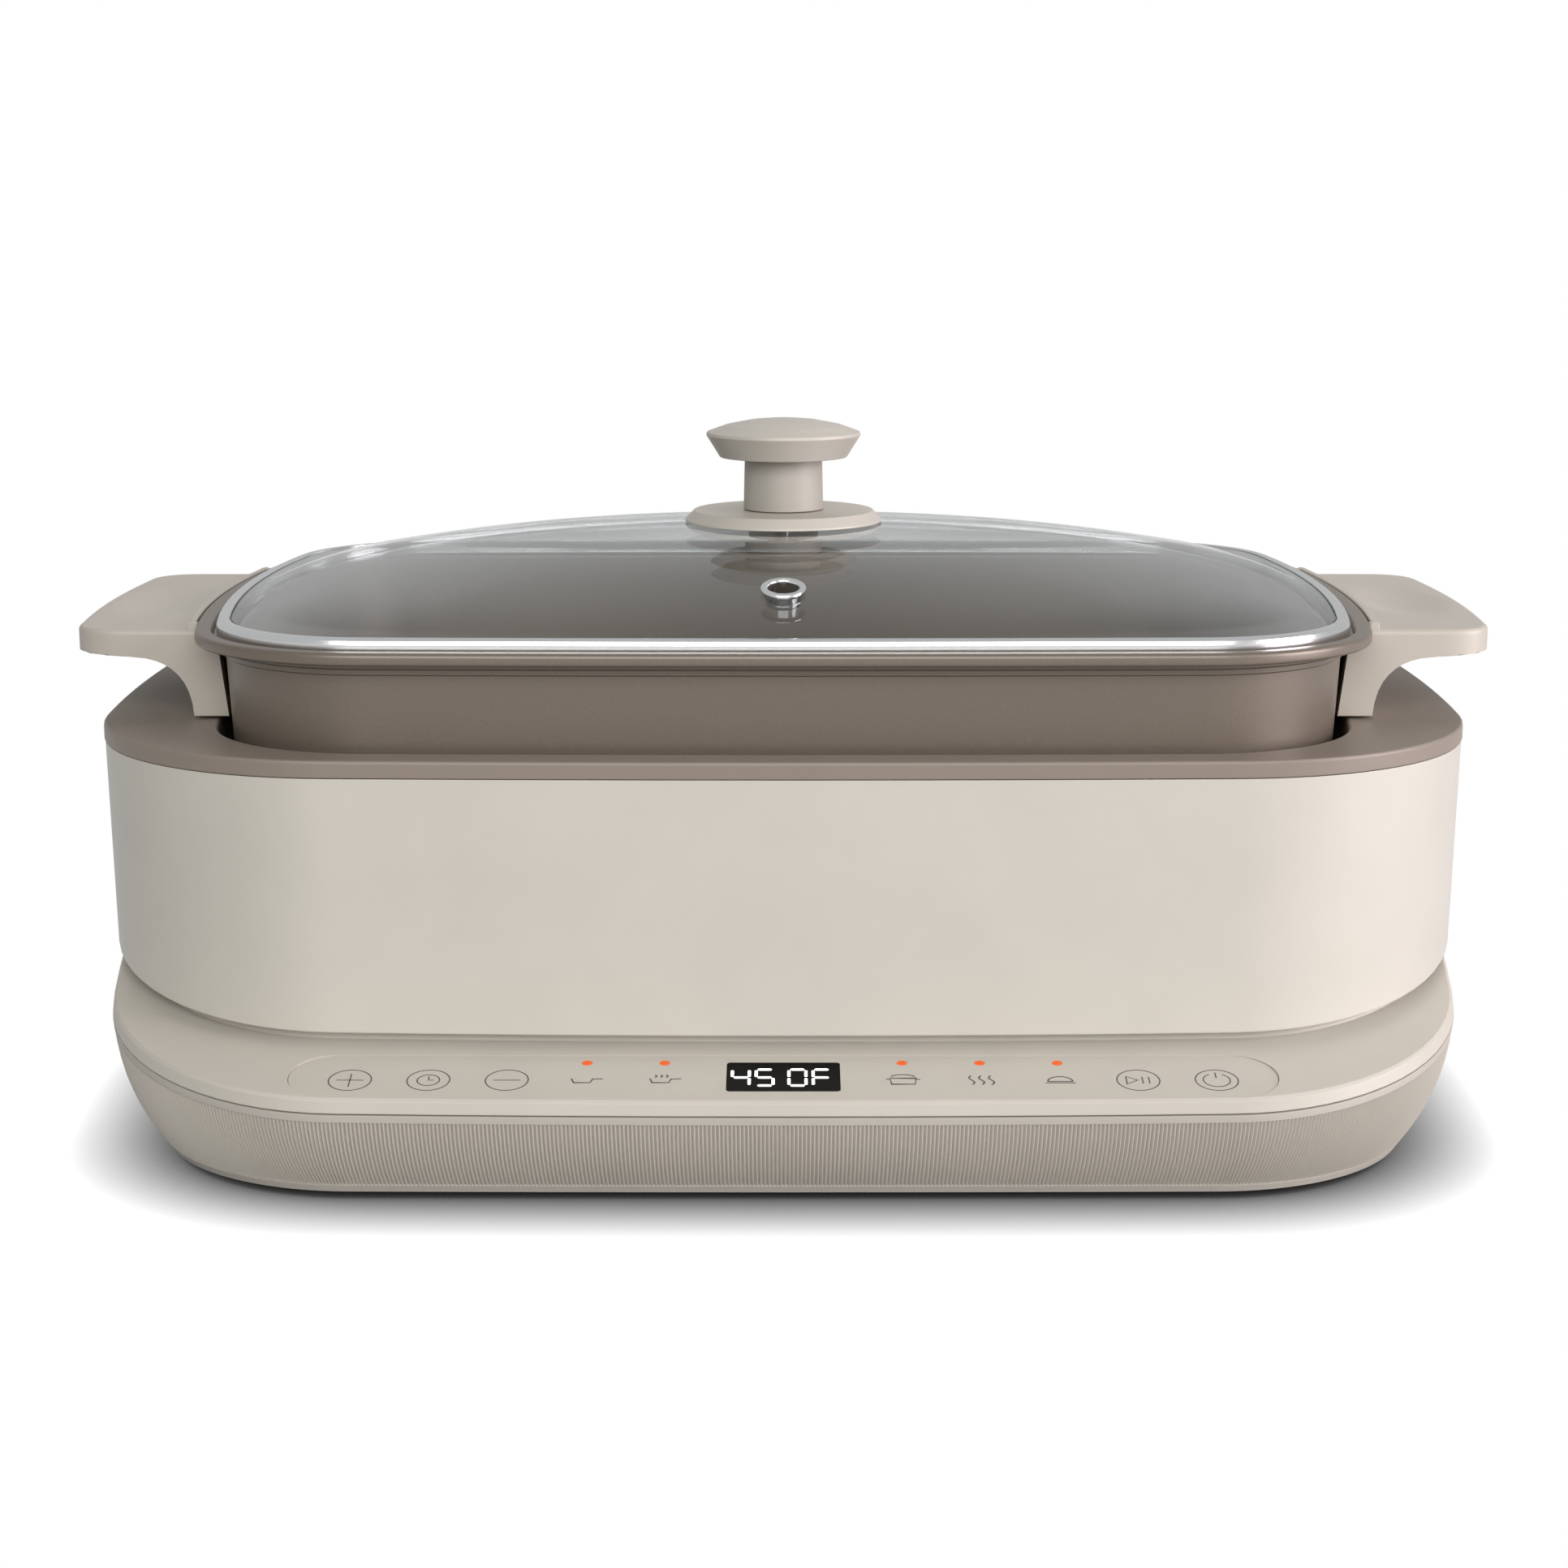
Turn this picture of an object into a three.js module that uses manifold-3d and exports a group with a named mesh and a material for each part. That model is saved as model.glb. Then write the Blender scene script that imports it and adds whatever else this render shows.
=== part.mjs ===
// A rectangular slow cooker: a wedge-shaped base with a touch panel, a heated body above it,
// a lift-out cooking pot with two handles, and a glass lid with a knob.
// Millimetres. +X is the long way, handle to handle, -Y is the front with the touch panel, +Z is up.
// The origin is on the worktop, under the middle of the whole object's box.
import * as THREE from "three";
import { mergeVertices } from "three/addons/utils/BufferGeometryUtils.js";
import Module from "manifold-3d";

const wasm = await Module();
wasm.setup();

// ---- Driving dimensions -------------------------------------------------------------------

const GAP = 0.3; // the air left between two pieces that touch
const BODY_Y = 15.6; // middle of the body, pot and lid; the base reaches further forward
const TILT = THREE.MathUtils.degToRad(11); // slope of the deck, low at the front
const SLOPE = Math.tan(TILT);

// Plan outlines. Each half has a bowed long edge, two corners and bowed sides, all tangent arcs.
const BODY_HALF = { depth: 144, corner: 86.5, longRadius: 4335, sideRadius: 915 };
const BODY_PLAN = { halfWidth: 226.1, widest: BODY_Y, front: BODY_HALF, back: BODY_HALF };
const LID_HALF = { depth: 130.3, corner: 54.4, longRadius: 5396, sideRadius: 552 };
const LID_PLAN = { halfWidth: 188.7, widest: BODY_Y, front: LID_HALF, back: LID_HALF };
const BASE_CURVES = { corner: 83.4, longRadius: 5480, sideRadius: 800 };
const BASE_PLAN = {
  halfWidth: 222.7,
  widest: 17.4,
  front: { depth: 176.1, ...BASE_CURVES },
  back: { depth: 140.2, ...BASE_CURVES },
};
const SOLE_PLAN = {
  halfWidth: 206.5,
  widest: -15.7,
  front: { depth: 133.4, corner: 69, longRadius: 12000, sideRadius: 445 },
  back: { depth: 156.6, corner: 69, longRadius: 3150, sideRadius: 900 },
};

// Base
const BASE_FRONT = BASE_PLAN.widest - BASE_PLAN.front.depth;
const DECK_FRONT_Z = 35; // deck height at its front edge
const DECK_THICK = 2.5;
const FASCIA = 4.5; // bright band between the deck and the seam
const FASCIA_OUT = 0.9; // how far the band's foot stands out from the deck's edge
const HOUSING_WALL = 2.5;
const SOLE_Z = 3.5; // where the skirt turns under
const UNDERSIDE_Z = 2.5;
const FLOOR_Z = 5.5; // top of the housing's floor
const NECK_INSET = 3.2; // recess between the base and the body
const NECK_WALL = 2;
const OPENING_MARGIN = 1; // hole in the deck round the heating well

// Body
const SHELL_FOOT_Z = 45.25; // lower edge of the body at its front, rising with the deck
const SHELL_WALL = 2.5;
const SHELL_DRAFT = 1.4; // how much narrower the shell is at its foot
const RING_TOP = 132.7;
const RING_FACE = 5.4; // height of the ring's visible edge
const WELL_RIM_Z = 117.5;
const WELL_FLOOR_Z = 57.5;
const WELL_SHEET = 1.2;

// Cooking pot
const POT_BOTTOM = 70;
const POT_RIM = 164.7;
const POT_LEDGE = 162.7; // the step that the lid rests on
const POT_WALL = 2.2;
const FLANGE_OUT = 7;
const WALL_IN = 2.6; // pot wall below the flange, inside the lid's outline
const POT_DRAFT = 4.4; // how much narrower the wall is at the bottom radius

// Handles
const HANDLE_TOP = 162.3;
const HANDLE_TIP = 235.6;
const HANDLE_HALF = 70.4;
const HANDLE_FOOT = 133.5;
const HANDLE_SCREW_Y = 34;
const HANDLE_SCREW_Z = 146;
const SCREW_SEAT = 190; // where a handle screw's head stops, out from the middle

// Lid
const RIM_BOTTOM = POT_LEDGE + GAP;
const RIM_TOP = 167.8;
const RIM_SHEET = 0.6;
const RIM_WIDTH = 4.3;
const GLASS_THICK = 3.4;
const DOME_RISE = 22.3;
const DOME_POWER = 2.7;
const VENT_Y = -101; // in front of the lid's middle
const KNOB_SEAT = 190.1;
const KNOB_TOP = 225.6;

// Touch panel, in the deck's own tilted frame: x along the front, y up the slope, z out of the deck
const PANEL_HALF = 151;
const PANEL_RADIUS = 13.5;
const PANEL_Y = 16.1;
const PANEL_SUNK = 0.3;
const PANEL_THICK = 1;
const DISPLAY = { width: 34.6, depth: 18.7, thick: 1.2 };
const LIGHT_RADIUS = 1.6;
const LIGHT_Y = 25;
const ICON_PITCH = 23.9;
const FIRST_ICON = 36.5; // middle of the display to the first function
const LIGHT_X = [-FIRST_ICON - ICON_PITCH, -FIRST_ICON, FIRST_ICON,
  FIRST_ICON + ICON_PITCH, FIRST_ICON + 2 * ICON_PITCH];

// Base fixings, as [x, y]
const FOOT_PLACES = [[-160, -108], [160, -108], [-160, 96], [160, 96]];
const SCREW_PLACES = [[-150, -131], [150, -131], [-180.5, 107.6], [180.5, 107.6]];

// Heater
const PLATE_TOP = POT_BOTTOM - GAP;
const PLATE_THICK = 5;
const PLATE_INSET = 27;
const ELEMENT_RADIUS = 3;
const TERMINAL_X = 18;
const ELEMENT_HALF = [115, 62];
const ELEMENT_CORNER = 40;

// Power board and mains inlet
const BOARD = { x: 60, y: 40, z: 12, width: 130, depth: 80, thick: 1.6 };
const INLET = { x: 110, z: 38, width: 27, height: 20, front: 136, face: 155.6 };
const PIN_X = 5;

// ---- Materials ----------------------------------------------------------------------------

const material = (color, roughness, metalness = 0) =>
  new THREE.MeshStandardMaterial({ color, roughness, metalness });
const CREAM = material(0xcdc8bc, 0.45);
const TAUPE = material(0x857a6e, 0.5);
const GREIGE = material(0xbdb5a8, 0.45);
const PANEL = material(0xc6bfb3, 0.35);
const POT_COAT = material(0x6b6056, 0.4, 0.3);
const STEEL = material(0xd8d8d8, 0.15, 1);
const TINNED = material(0xa9abad, 0.4, 0.9);
const ALUMINIUM = material(0x8f9295, 0.45, 0.9);
const GLASS = new THREE.MeshStandardMaterial({
  color: 0xe8eeee, roughness: 0.03, transparent: true, opacity: 0.3,
});
const BLACK = material(0x0a0a0b, 0.1);
const AMBER = material(0xf76e28, 0.3);
const BOARD_GREEN = material(0x2c5b3f, 0.5);
const DARK = material(0x2a2a2c, 0.6);
const RUBBER = material(0x3a3937, 0.85);
const FIBRE = material(0xd9d5c8, 0.95);
const WIRE = material(0x8a2f25, 0.5);

// ---- Outlines and lofts -------------------------------------------------------------------

const ARC_STEPS = { long: 1, corner: 6, side: 2 };

// Points along one arc, each with its outward normal.
function arcPoints(centre, radius, from, to, steps) {
  return Array.from({ length: steps + 1 }, (_, i) => {
    const angle = THREE.MathUtils.lerp(from, to, i / steps);
    const normal = new THREE.Vector2(Math.cos(angle), Math.sin(angle));
    return { point: centre.clone().addScaledVector(normal, radius), normal };
  });
}

// One quarter of an outline, from the middle of its long edge to its widest line.
function quarter(halfWidth, { depth, corner, longRadius, sideRadius }) {
  const long = new THREE.Vector2(0, depth - longRadius);
  const side = new THREE.Vector2(halfWidth - sideRadius, 0);
  const span = side.clone().sub(long);
  const length = span.length();
  const toLong = longRadius - corner;
  const toSide = sideRadius - corner;
  const along = (length ** 2 + toLong ** 2 - toSide ** 2) / (2 * length);
  const across = Math.sqrt(toLong ** 2 - along ** 2);
  const way = span.divideScalar(length);
  const centre = long.clone().addScaledVector(way, along);
  centre.add(new THREE.Vector2(way.y, -way.x).multiplyScalar(across));
  const longAngle = centre.clone().sub(long).angle();
  const sideAngle = centre.clone().sub(side).angle();
  return [
    ...arcPoints(long, longRadius, Math.PI / 2, longAngle, ARC_STEPS.long),
    ...arcPoints(centre, corner, longAngle, sideAngle, ARC_STEPS.corner).slice(1),
    ...arcPoints(side, sideRadius, sideAngle, 0, ARC_STEPS.side).slice(1),
  ];
}

// A whole outline, anticlockwise from the middle of its front.
function outline({ halfWidth, widest, front, back }) {
  const place = (samples, sx, sy) =>
    samples.map(({ point, normal }) => ({
      x: sx * point.x,
      y: widest + sy * point.y,
      nx: sx * normal.x,
      ny: sy * normal.y,
    }));
  const ahead = quarter(halfWidth, front);
  const behind = quarter(halfWidth, back);
  return [
    ...place(ahead, 1, -1),
    ...place(behind, 1, 1).reverse().slice(1),
    ...place(behind, -1, 1).slice(1),
    ...place(ahead, -1, -1).reverse().slice(1, -1),
  ];
}

// A ring of points: an outline moved outwards, at one height or on a sloping plane.
function ring(plan, outwards, height) {
  return outline(plan).map(({ x, y, nx, ny }) => {
    const at = new THREE.Vector3(x + nx * outwards, y + ny * outwards, 0);
    at.z = typeof height === "function" ? height(at.y) : height;
    return at;
  });
}

const centrePoint = (z, y = BODY_Y) => [new THREE.Vector3(0, y, z)];
const deck = (above) => (y) => DECK_FRONT_Z + SLOPE * (y - BASE_FRONT) + above;
const shellFoot = (above) => (y) =>
  SHELL_FOOT_Z + SLOPE * (y - BODY_Y + BODY_HALF.depth) + above;

// A closed surface through rings that run up the outside, in over the top and down the inside.
// A ring of one point closes an end on the middle line; otherwise the last ring joins the first.
function loft(rings) {
  const solidEnds = rings[0].length === 1;
  const loops = solidEnds ? rings : [...rings, rings[0]];
  const corners = [];
  for (let k = 0; k + 1 < loops.length; k += 1) {
    const low = loops[k];
    const high = loops[k + 1];
    const count = Math.max(low.length, high.length);
    for (let i = 0; i < count; i += 1) {
      const a = low[i % low.length];
      const b = low[(i + 1) % low.length];
      const c = high[(i + 1) % high.length];
      const d = high[i % high.length];
      if (low.length > 1) corners.push(a, b, c);
      if (high.length > 1) corners.push(a, c, d);
    }
  }
  return new THREE.BufferGeometry().setFromPoints(corners);
}

// ---- Solid joins and cuts -----------------------------------------------------------------

function toSolid(geometry) {
  const bare = new THREE.BufferGeometry();
  bare.setAttribute("position", geometry.getAttribute("position"));
  bare.setIndex(geometry.index);
  const merged = mergeVertices(bare, 1e-3);
  return new wasm.Manifold(
    new wasm.Mesh({
      numProp: 3,
      vertProperties: new Float32Array(merged.attributes.position.array),
      triVerts: new Uint32Array(merged.index.array),
    }),
  );
}

function toGeometry(solid) {
  const mesh = solid.getMesh();
  return new THREE.BufferGeometry()
    .setAttribute("position", new THREE.BufferAttribute(mesh.vertProperties, 3))
    .setIndex(new THREE.BufferAttribute(mesh.triVerts, 1));
}

const fold = (action) => (geometry, ...others) =>
  toGeometry(others.reduce((sum, other) => sum[action](toSolid(other)), toSolid(geometry)));
const join = fold("add");
const cut = fold("subtract");
const common = fold("intersect");

// ---- Simple shapes ------------------------------------------------------------------------

// A round bar along Z.
const bar = (radius, low, high, [x, y] = [0, 0], sides = 10) =>
  new THREE.CylinderGeometry(radius, radius, high - low, sides)
    .rotateX(Math.PI / 2)
    .translate(x, y, (low + high) / 2);

// A box from its lowest to its highest corner.
const block = ([x0, y0, z0], [x1, y1, z1]) =>
  new THREE.BoxGeometry(x1 - x0, y1 - y0, z1 - z0)
    .translate((x0 + x1) / 2, (y0 + y1) / 2, (z0 + z1) / 2);

// A turned piece about the Z axis through [x, y], from a profile of [radius, height] points.
function turned(profile, [x, y] = [0, 0], sides = 24) {
  const points = profile.map(([radius, z]) => new THREE.Vector2(radius, z));
  return new THREE.LatheGeometry(points, sides).rotateX(Math.PI / 2).translate(x, y, 0);
}

// A flat plate from a shape, between two heights.
const plate = (shape, low, high, curveSegments = 5) =>
  new THREE.ExtrudeGeometry(shape, { depth: high - low, bevelEnabled: false, curveSegments })
    .translate(0, 0, low);

// A rectangle with rounded corners; a stadium when the radius is half its depth.
function roundedShape(width, depth, radius, [x, y] = [0, 0]) {
  const right = x + width / 2 - radius;
  const left = x - width / 2 + radius;
  const top = y + depth / 2 - radius;
  const bottom = y - depth / 2 + radius;
  const shape = new THREE.Shape();
  shape.absarc(right, bottom, radius, -Math.PI / 2, 0);
  shape.absarc(right, top, radius, 0, Math.PI / 2);
  shape.absarc(left, top, radius, Math.PI / 2, Math.PI);
  shape.absarc(left, bottom, radius, Math.PI, 1.5 * Math.PI);
  return shape;
}

// A round wire or tube through a list of points.
function tube(points, radius, steps, sides = 8) {
  const path = new THREE.CatmullRomCurve3(points.map((p) => new THREE.Vector3(...p)));
  const section = new THREE.Shape();
  for (let i = 0; i < sides; i += 1) {
    const angle = (2 * Math.PI * i) / sides;
    const at = [radius * Math.cos(angle), radius * Math.sin(angle)];
    if (i === 0) section.moveTo(...at);
    else section.lineTo(...at);
  }
  return new THREE.ExtrudeGeometry(section, { steps, extrudePath: path, bevelEnabled: false });
}

// ---- The scene graph ----------------------------------------------------------------------

const cooker = new THREE.Group();
const base = new THREE.Group();
const sensor = new THREE.Group();
const pot = new THREE.Group();
const lid = new THREE.Group();
const panelFrame = new THREE.Group(); // the deck's own tilted frame
panelFrame.position.set(0, BASE_FRONT, DECK_FRONT_Z);
panelFrame.rotation.x = TILT;
panelFrame.updateMatrix();
base.add(panelFrame);
cooker.add(base, sensor, pot, lid);

function addPiece(group, name, geometry, look) {
  const mesh = new THREE.Mesh(geometry, look);
  mesh.name = name;
  group.add(mesh);
}

const onDeck = (geometry) => geometry.applyMatrix4(panelFrame.matrix);

// ---- Base ---------------------------------------------------------------------------------

// The skirt's inward curve, as a share of the way from the seam's outline to the sole's.
const skirtCurve = (down) => 0.2 * down + 0.8 * down ** 2.3;

function skirtRing(down, inwards) {
  const top = ring(BASE_PLAN, FASCIA_OUT - inwards, deck(-FASCIA - GAP));
  const sole = ring(SOLE_PLAN, -inwards, SOLE_Z);
  return top.map((p, i) => {
    const at = p.clone().lerp(sole[i], skirtCurve(down));
    at.z = THREE.MathUtils.lerp(p.z, sole[i].z, down);
    return at;
  });
}

function lowerHousing() {
  const steps = [1, 0.85, 0.6, 0.3, 0];
  const inside = [0, 0.5, 0.8];
  const tub = loft([
    centrePoint(UNDERSIDE_Z),
    ring(SOLE_PLAN, -3, UNDERSIDE_Z),
    ring(SOLE_PLAN, -0.8, UNDERSIDE_Z + 0.3),
    ...steps.map((down) => skirtRing(down, 0)),
    ...inside.map((down) => skirtRing(down, HOUSING_WALL)),
    ring(SOLE_PLAN, -HOUSING_WALL - 1, FLOOR_Z),
    centrePoint(FLOOR_Z),
  ]);
  const { x, z, width, height, face } = INLET;
  const pad = block([x - width / 2 - 5, 140, z - height / 2 - 5],
    [x + width / 2 + 5, face - GAP, z + height / 2 + 5]);
  const port = block([x - width / 2 - GAP, 130, z - height / 2 - GAP],
    [x + width / 2 + GAP, 165, z + height / 2 + GAP]);
  const posts = boardCorners().map((at) => bar(3.5, FLOOR_Z - 1, BOARD.z - GAP, at));
  const footHoles = FOOT_PLACES.map((at) => bar(3.3, 0, 10, at));
  const screwHoles = SCREW_PLACES.map((at) => bar(2.2, 0, 10, at));
  const recesses = SCREW_PLACES.map((at) => bar(4.5, 0, 4, at));
  return cut(join(tub, pad, ...posts), port, ...footHoles, ...screwHoles, ...recesses);
}

function deckCover() {
  const tongue = FASCIA_OUT - HOUSING_WALL - 1; // clear of the skirt, which leans in below the seam
  const shape = loft([
    ring(BASE_PLAN, tongue, deck(-FASCIA)),
    ring(BASE_PLAN, FASCIA_OUT, deck(-FASCIA)),
    ring(BASE_PLAN, 0.3, deck(-0.7)),
    ring(BASE_PLAN, -0.6, deck(0)),
    ring(BODY_PLAN, -NECK_INSET - SHELL_DRAFT, deck(0)),
    ring(BODY_PLAN, -NECK_INSET - SHELL_DRAFT, shellFoot(4)),
    ring(BODY_PLAN, -NECK_INSET - SHELL_DRAFT - NECK_WALL, shellFoot(4)),
    ring(BODY_PLAN, -NECK_INSET - SHELL_DRAFT - NECK_WALL, deck(0)),
    ring(LID_PLAN, OPENING_MARGIN, deck(0)),
    ring(LID_PLAN, OPENING_MARGIN, deck(-DECK_THICK)),
    ring(BASE_PLAN, tongue - 2, deck(-DECK_THICK)),
    ring(BASE_PLAN, tongue - 2, deck(-FASCIA - 3.5)),
    ring(BASE_PLAN, tongue, deck(-FASCIA - 3.5)),
  ]);
  const bosses = SCREW_PLACES.map(([x, y]) => bar(3.9, FLOOR_Z + GAP, deck(-1)(y), [x, y]));
  const pilots = SCREW_PLACES.map((at) => bar(2, FLOOR_Z - 1, 19, at));
  const recess = onDeck(plate(
    roundedShape(2 * (PANEL_HALF + GAP), 2 * (PANEL_RADIUS + GAP), PANEL_RADIUS + GAP, [0, PANEL_Y]),
    -PANEL_SUNK - PANEL_THICK - GAP, 5));
  const window = onDeck(plate(roundedShape(DISPLAY.width, DISPLAY.depth, 1, [0, PANEL_Y]), -9, 5));
  const lightHoles = LIGHT_X.map((x) => onDeck(bar(LIGHT_RADIUS + GAP, -9, 5, [x, LIGHT_Y])));
  return cut(join(shape, ...bosses), ...pilots, recess, window, ...lightHoles);
}

function panelOverlay() {
  const sheet = plate(
    roundedShape(2 * PANEL_HALF, 2 * PANEL_RADIUS, PANEL_RADIUS, [0, PANEL_Y]),
    -PANEL_SUNK - PANEL_THICK, -PANEL_SUNK);
  const window = plate(
    roundedShape(DISPLAY.width + 2 * GAP, DISPLAY.depth + 2 * GAP, 1.5, [0, PANEL_Y]), -5, 5);
  const lightHoles = LIGHT_X.map((x) => bar(LIGHT_RADIUS + GAP, -5, 5, [x, LIGHT_Y]));
  return cut(sheet, window, ...lightHoles);
}

function addPanel() {
  const top = -PANEL_SUNK;
  const { width, depth, thick } = DISPLAY;
  addPiece(panelFrame, "control_panel_overlay", panelOverlay(), PANEL);
  addPiece(panelFrame, "display_window",
    plate(roundedShape(width, depth, 1.2, [0, PANEL_Y]), top - PANEL_THICK, top), BLACK);
  addPiece(panelFrame, "display_module",
    block([2 - width / 2, PANEL_Y - 8, -8], [width / 2 - 2, PANEL_Y + 8, top - thick - GAP]), DARK);
  LIGHT_X.forEach((x, i) =>
    addPiece(panelFrame, `indicator_light_${i + 1}`, bar(LIGHT_RADIUS, -8, top, [x, LIGHT_Y]), AMBER));
  addPiece(panelFrame, "control_board",
    block([-142, PANEL_Y - 11, -8 - GAP - 1.6], [142, PANEL_Y + 11, -8 - GAP]), BOARD_GREEN);
}

function boardCorners() {
  const { x, y, width, depth } = BOARD;
  return [-1, 1].flatMap((sx) =>
    [-1, 1].map((sy) => [x + sx * (width / 2 - 6), y + sy * (depth / 2 - 6)]));
}

function addPowerBoard() {
  const { x, y, z, width, depth, thick } = BOARD;
  const top = z + thick;
  const onTop = (dx, dy, w, d, h) =>
    block([x + dx - w / 2, y + dy - d / 2, top + GAP], [x + dx + w / 2, y + dy + d / 2, top + h]);
  addPiece(base, "power_board",
    block([x - width / 2, y - depth / 2, z], [x + width / 2, y + depth / 2, top]), BOARD_GREEN);
  addPiece(base, "transformer", onTop(-28, 12, 32, 26, 22), DARK);
  addPiece(base, "relay", onTop(18, 14, 22, 17, 17), BLACK);
  addPiece(base, "capacitor", bar(7, top + GAP, top + 21, [x + 6, y - 20]), DARK);
}

function powerInlet() {
  const { x, z, width, height, front, face } = INLET;
  const body = block([x - width / 2, front, z - height / 2], [x + width / 2, face + 1, z + height / 2]);
  const flange = block([x - width / 2 - 3, face, z - height / 2 - 3],
    [x + width / 2 + 3, face + 1.8, z + height / 2 + 3]);
  const socket = block([x - width / 2 + 3, front + 5, z - height / 2 + 3],
    [x + width / 2 - 3, face + 5, z + height / 2 - 3]);
  const pinHoles = [-PIN_X, PIN_X].map((dx) => inletPin(dx, 2 + GAP, front - 5, front + 10));
  return cut(join(body, flange), socket, ...pinHoles);
}

// A round bar along Y in the inlet.
const inletPin = (dx, radius, from, to) =>
  new THREE.CylinderGeometry(radius, radius, to - from, 10)
    .translate(INLET.x + dx, (from + to) / 2, INLET.z);

function addInlet() {
  addPiece(base, "power_inlet", powerInlet(), DARK);
  [-PIN_X, PIN_X].forEach((dx, i) =>
    addPiece(base, `inlet_pin_${i + 1}`,
      inletPin(dx, 2, INLET.front - 5, INLET.face - 5), STEEL));
}

function addWires() {
  const boardTop = BOARD.z + BOARD.thick + 1.5;
  const pinEnd = INLET.front - 6.5;
  const terminalY = BODY_Y - ELEMENT_HALF[1];
  [-PIN_X, PIN_X].forEach((dx, i) => {
    const path = [[INLET.x + dx, pinEnd, INLET.z], [INLET.x + dx, pinEnd - 14, INLET.z - 4],
      [INLET.x + dx, 92, boardTop + 8], [INLET.x + dx - 4, 74, boardTop]];
    addPiece(base, `mains_wire_${i + 1}`, tube(path, 1.3, 12, 6), WIRE);
  });
  [-TERMINAL_X, TERMINAL_X].forEach((x, i) => {
    const path = [[x, terminalY, 40.5], [x, terminalY - 1, 32],
      [x + 6, terminalY + 20, 20], [x + 10, terminalY + 54, boardTop]];
    addPiece(base, `heater_wire_${i + 1}`, tube(path, 1.3, 12, 6), WIRE);
  });
}

function ribbonCable() {
  const strip = new THREE.Shape([[-7, -0.5], [7, -0.5], [7, 0.5], [-7, 0.5]]
    .map(([x, y]) => new THREE.Vector2(x, y)));
  const path = new THREE.CatmullRomCurve3([[40, -137, 25], [40, -130, 14], [40, -95, 9.5],
    [40, -40, 11], [40, -6, 15.4], [40, 6, 15.4]].map((p) => new THREE.Vector3(...p)));
  return new THREE.ExtrudeGeometry(strip, { steps: 14, extrudePath: path, bevelEnabled: false });
}

function addFixings() {
  FOOT_PLACES.forEach((at, i) =>
    addPiece(base, `foot_${i + 1}`, turned(
      [[0, 0], [8.4, 0], [9, 0.6], [8.6, UNDERSIDE_Z - GAP], [3, UNDERSIDE_Z - GAP],
        [3, FLOOR_Z + 1], [0, FLOOR_Z + 1]], at, 12), RUBBER));
  SCREW_PLACES.forEach((at, i) =>
    addPiece(base, `base_screw_${i + 1}`, turned(
      [[0, 2.6], [4, 2.6], [4, 3.7], [1.6, 3.7], [1.6, 16], [0, 17.2]], at, 10), STEEL));
}

// ---- Body ---------------------------------------------------------------------------------

function bodyShell() {
  const top = RING_TOP - RING_FACE - GAP;
  return loft([
    ring(BODY_PLAN, -GAP - SHELL_DRAFT, shellFoot(0)),
    ring(BODY_PLAN, -GAP, top),
    ring(BODY_PLAN, -GAP - SHELL_WALL, top),
    ring(BODY_PLAN, -GAP - SHELL_DRAFT - SHELL_WALL, shellFoot(0)),
  ]);
}

// The frame round the opening: a visible rim, a lip inside the shell and a skirt round the pot.
function topRing() {
  const low = RING_TOP - RING_FACE;
  const roof = RING_TOP - 2.7;
  const lip = GAP + SHELL_WALL + 1; // clear of the shell, which leans in below the ring
  return loft([
    ring(BODY_PLAN, 0, low),
    ring(BODY_PLAN, 0, RING_TOP - 1.5),
    ring(BODY_PLAN, -0.4, RING_TOP - 0.5),
    ring(BODY_PLAN, -1.5, RING_TOP),
    ring(LID_PLAN, 2.1, RING_TOP),
    ring(LID_PLAN, 1, RING_TOP - 0.5),
    ring(LID_PLAN, 0.6, RING_TOP - 1.5),
    ring(LID_PLAN, 0.6, WELL_RIM_Z + 0.5),
    ring(LID_PLAN, 2.8, WELL_RIM_Z + 0.5),
    ring(LID_PLAN, 2.8, roof),
    ring(BODY_PLAN, -lip - 2, roof),
    ring(BODY_PLAN, -lip - 2, low - 6),
    ring(BODY_PLAN, -lip, low - 6),
    ring(BODY_PLAN, -lip, low),
  ]);
}

function heatingWell() {
  const under = WELL_FLOOR_Z - WELL_SHEET;
  const cup = loft([
    centrePoint(under),
    ring(LID_PLAN, -14.6, under),
    ring(LID_PLAN, -8, under + 2.6),
    ring(LID_PLAN, -5, under + 9),
    ring(LID_PLAN, -2.4, WELL_RIM_Z - WELL_SHEET),
    ring(LID_PLAN, 8.6, WELL_RIM_Z - WELL_SHEET),
    ring(LID_PLAN, 8.6, WELL_RIM_Z),
    ring(LID_PLAN, -3.6, WELL_RIM_Z),
    ring(LID_PLAN, -6.2, under + 9.3),
    ring(LID_PLAN, -9.1, WELL_FLOOR_Z + 2.2),
    ring(LID_PLAN, -14.8, WELL_FLOOR_Z),
    centrePoint(WELL_FLOOR_Z),
  ]);
  const terminalHoles = [-TERMINAL_X, TERMINAL_X].map((x) =>
    bar(6, 40, 66, [x, BODY_Y - ELEMENT_HALF[1]]));
  return cut(cup, bar(4.6, 40, 66, [0, BODY_Y]), ...terminalHoles);
}

function insulationBand() {
  return loft([
    ring(LID_PLAN, 5.5, deck(2)),
    ring(LID_PLAN, 5.5, 112),
    ring(LID_PLAN, 1.4, 112),
    ring(LID_PLAN, 1.4, deck(2)),
  ]);
}

// ---- Heater and temperature sensor --------------------------------------------------------

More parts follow.
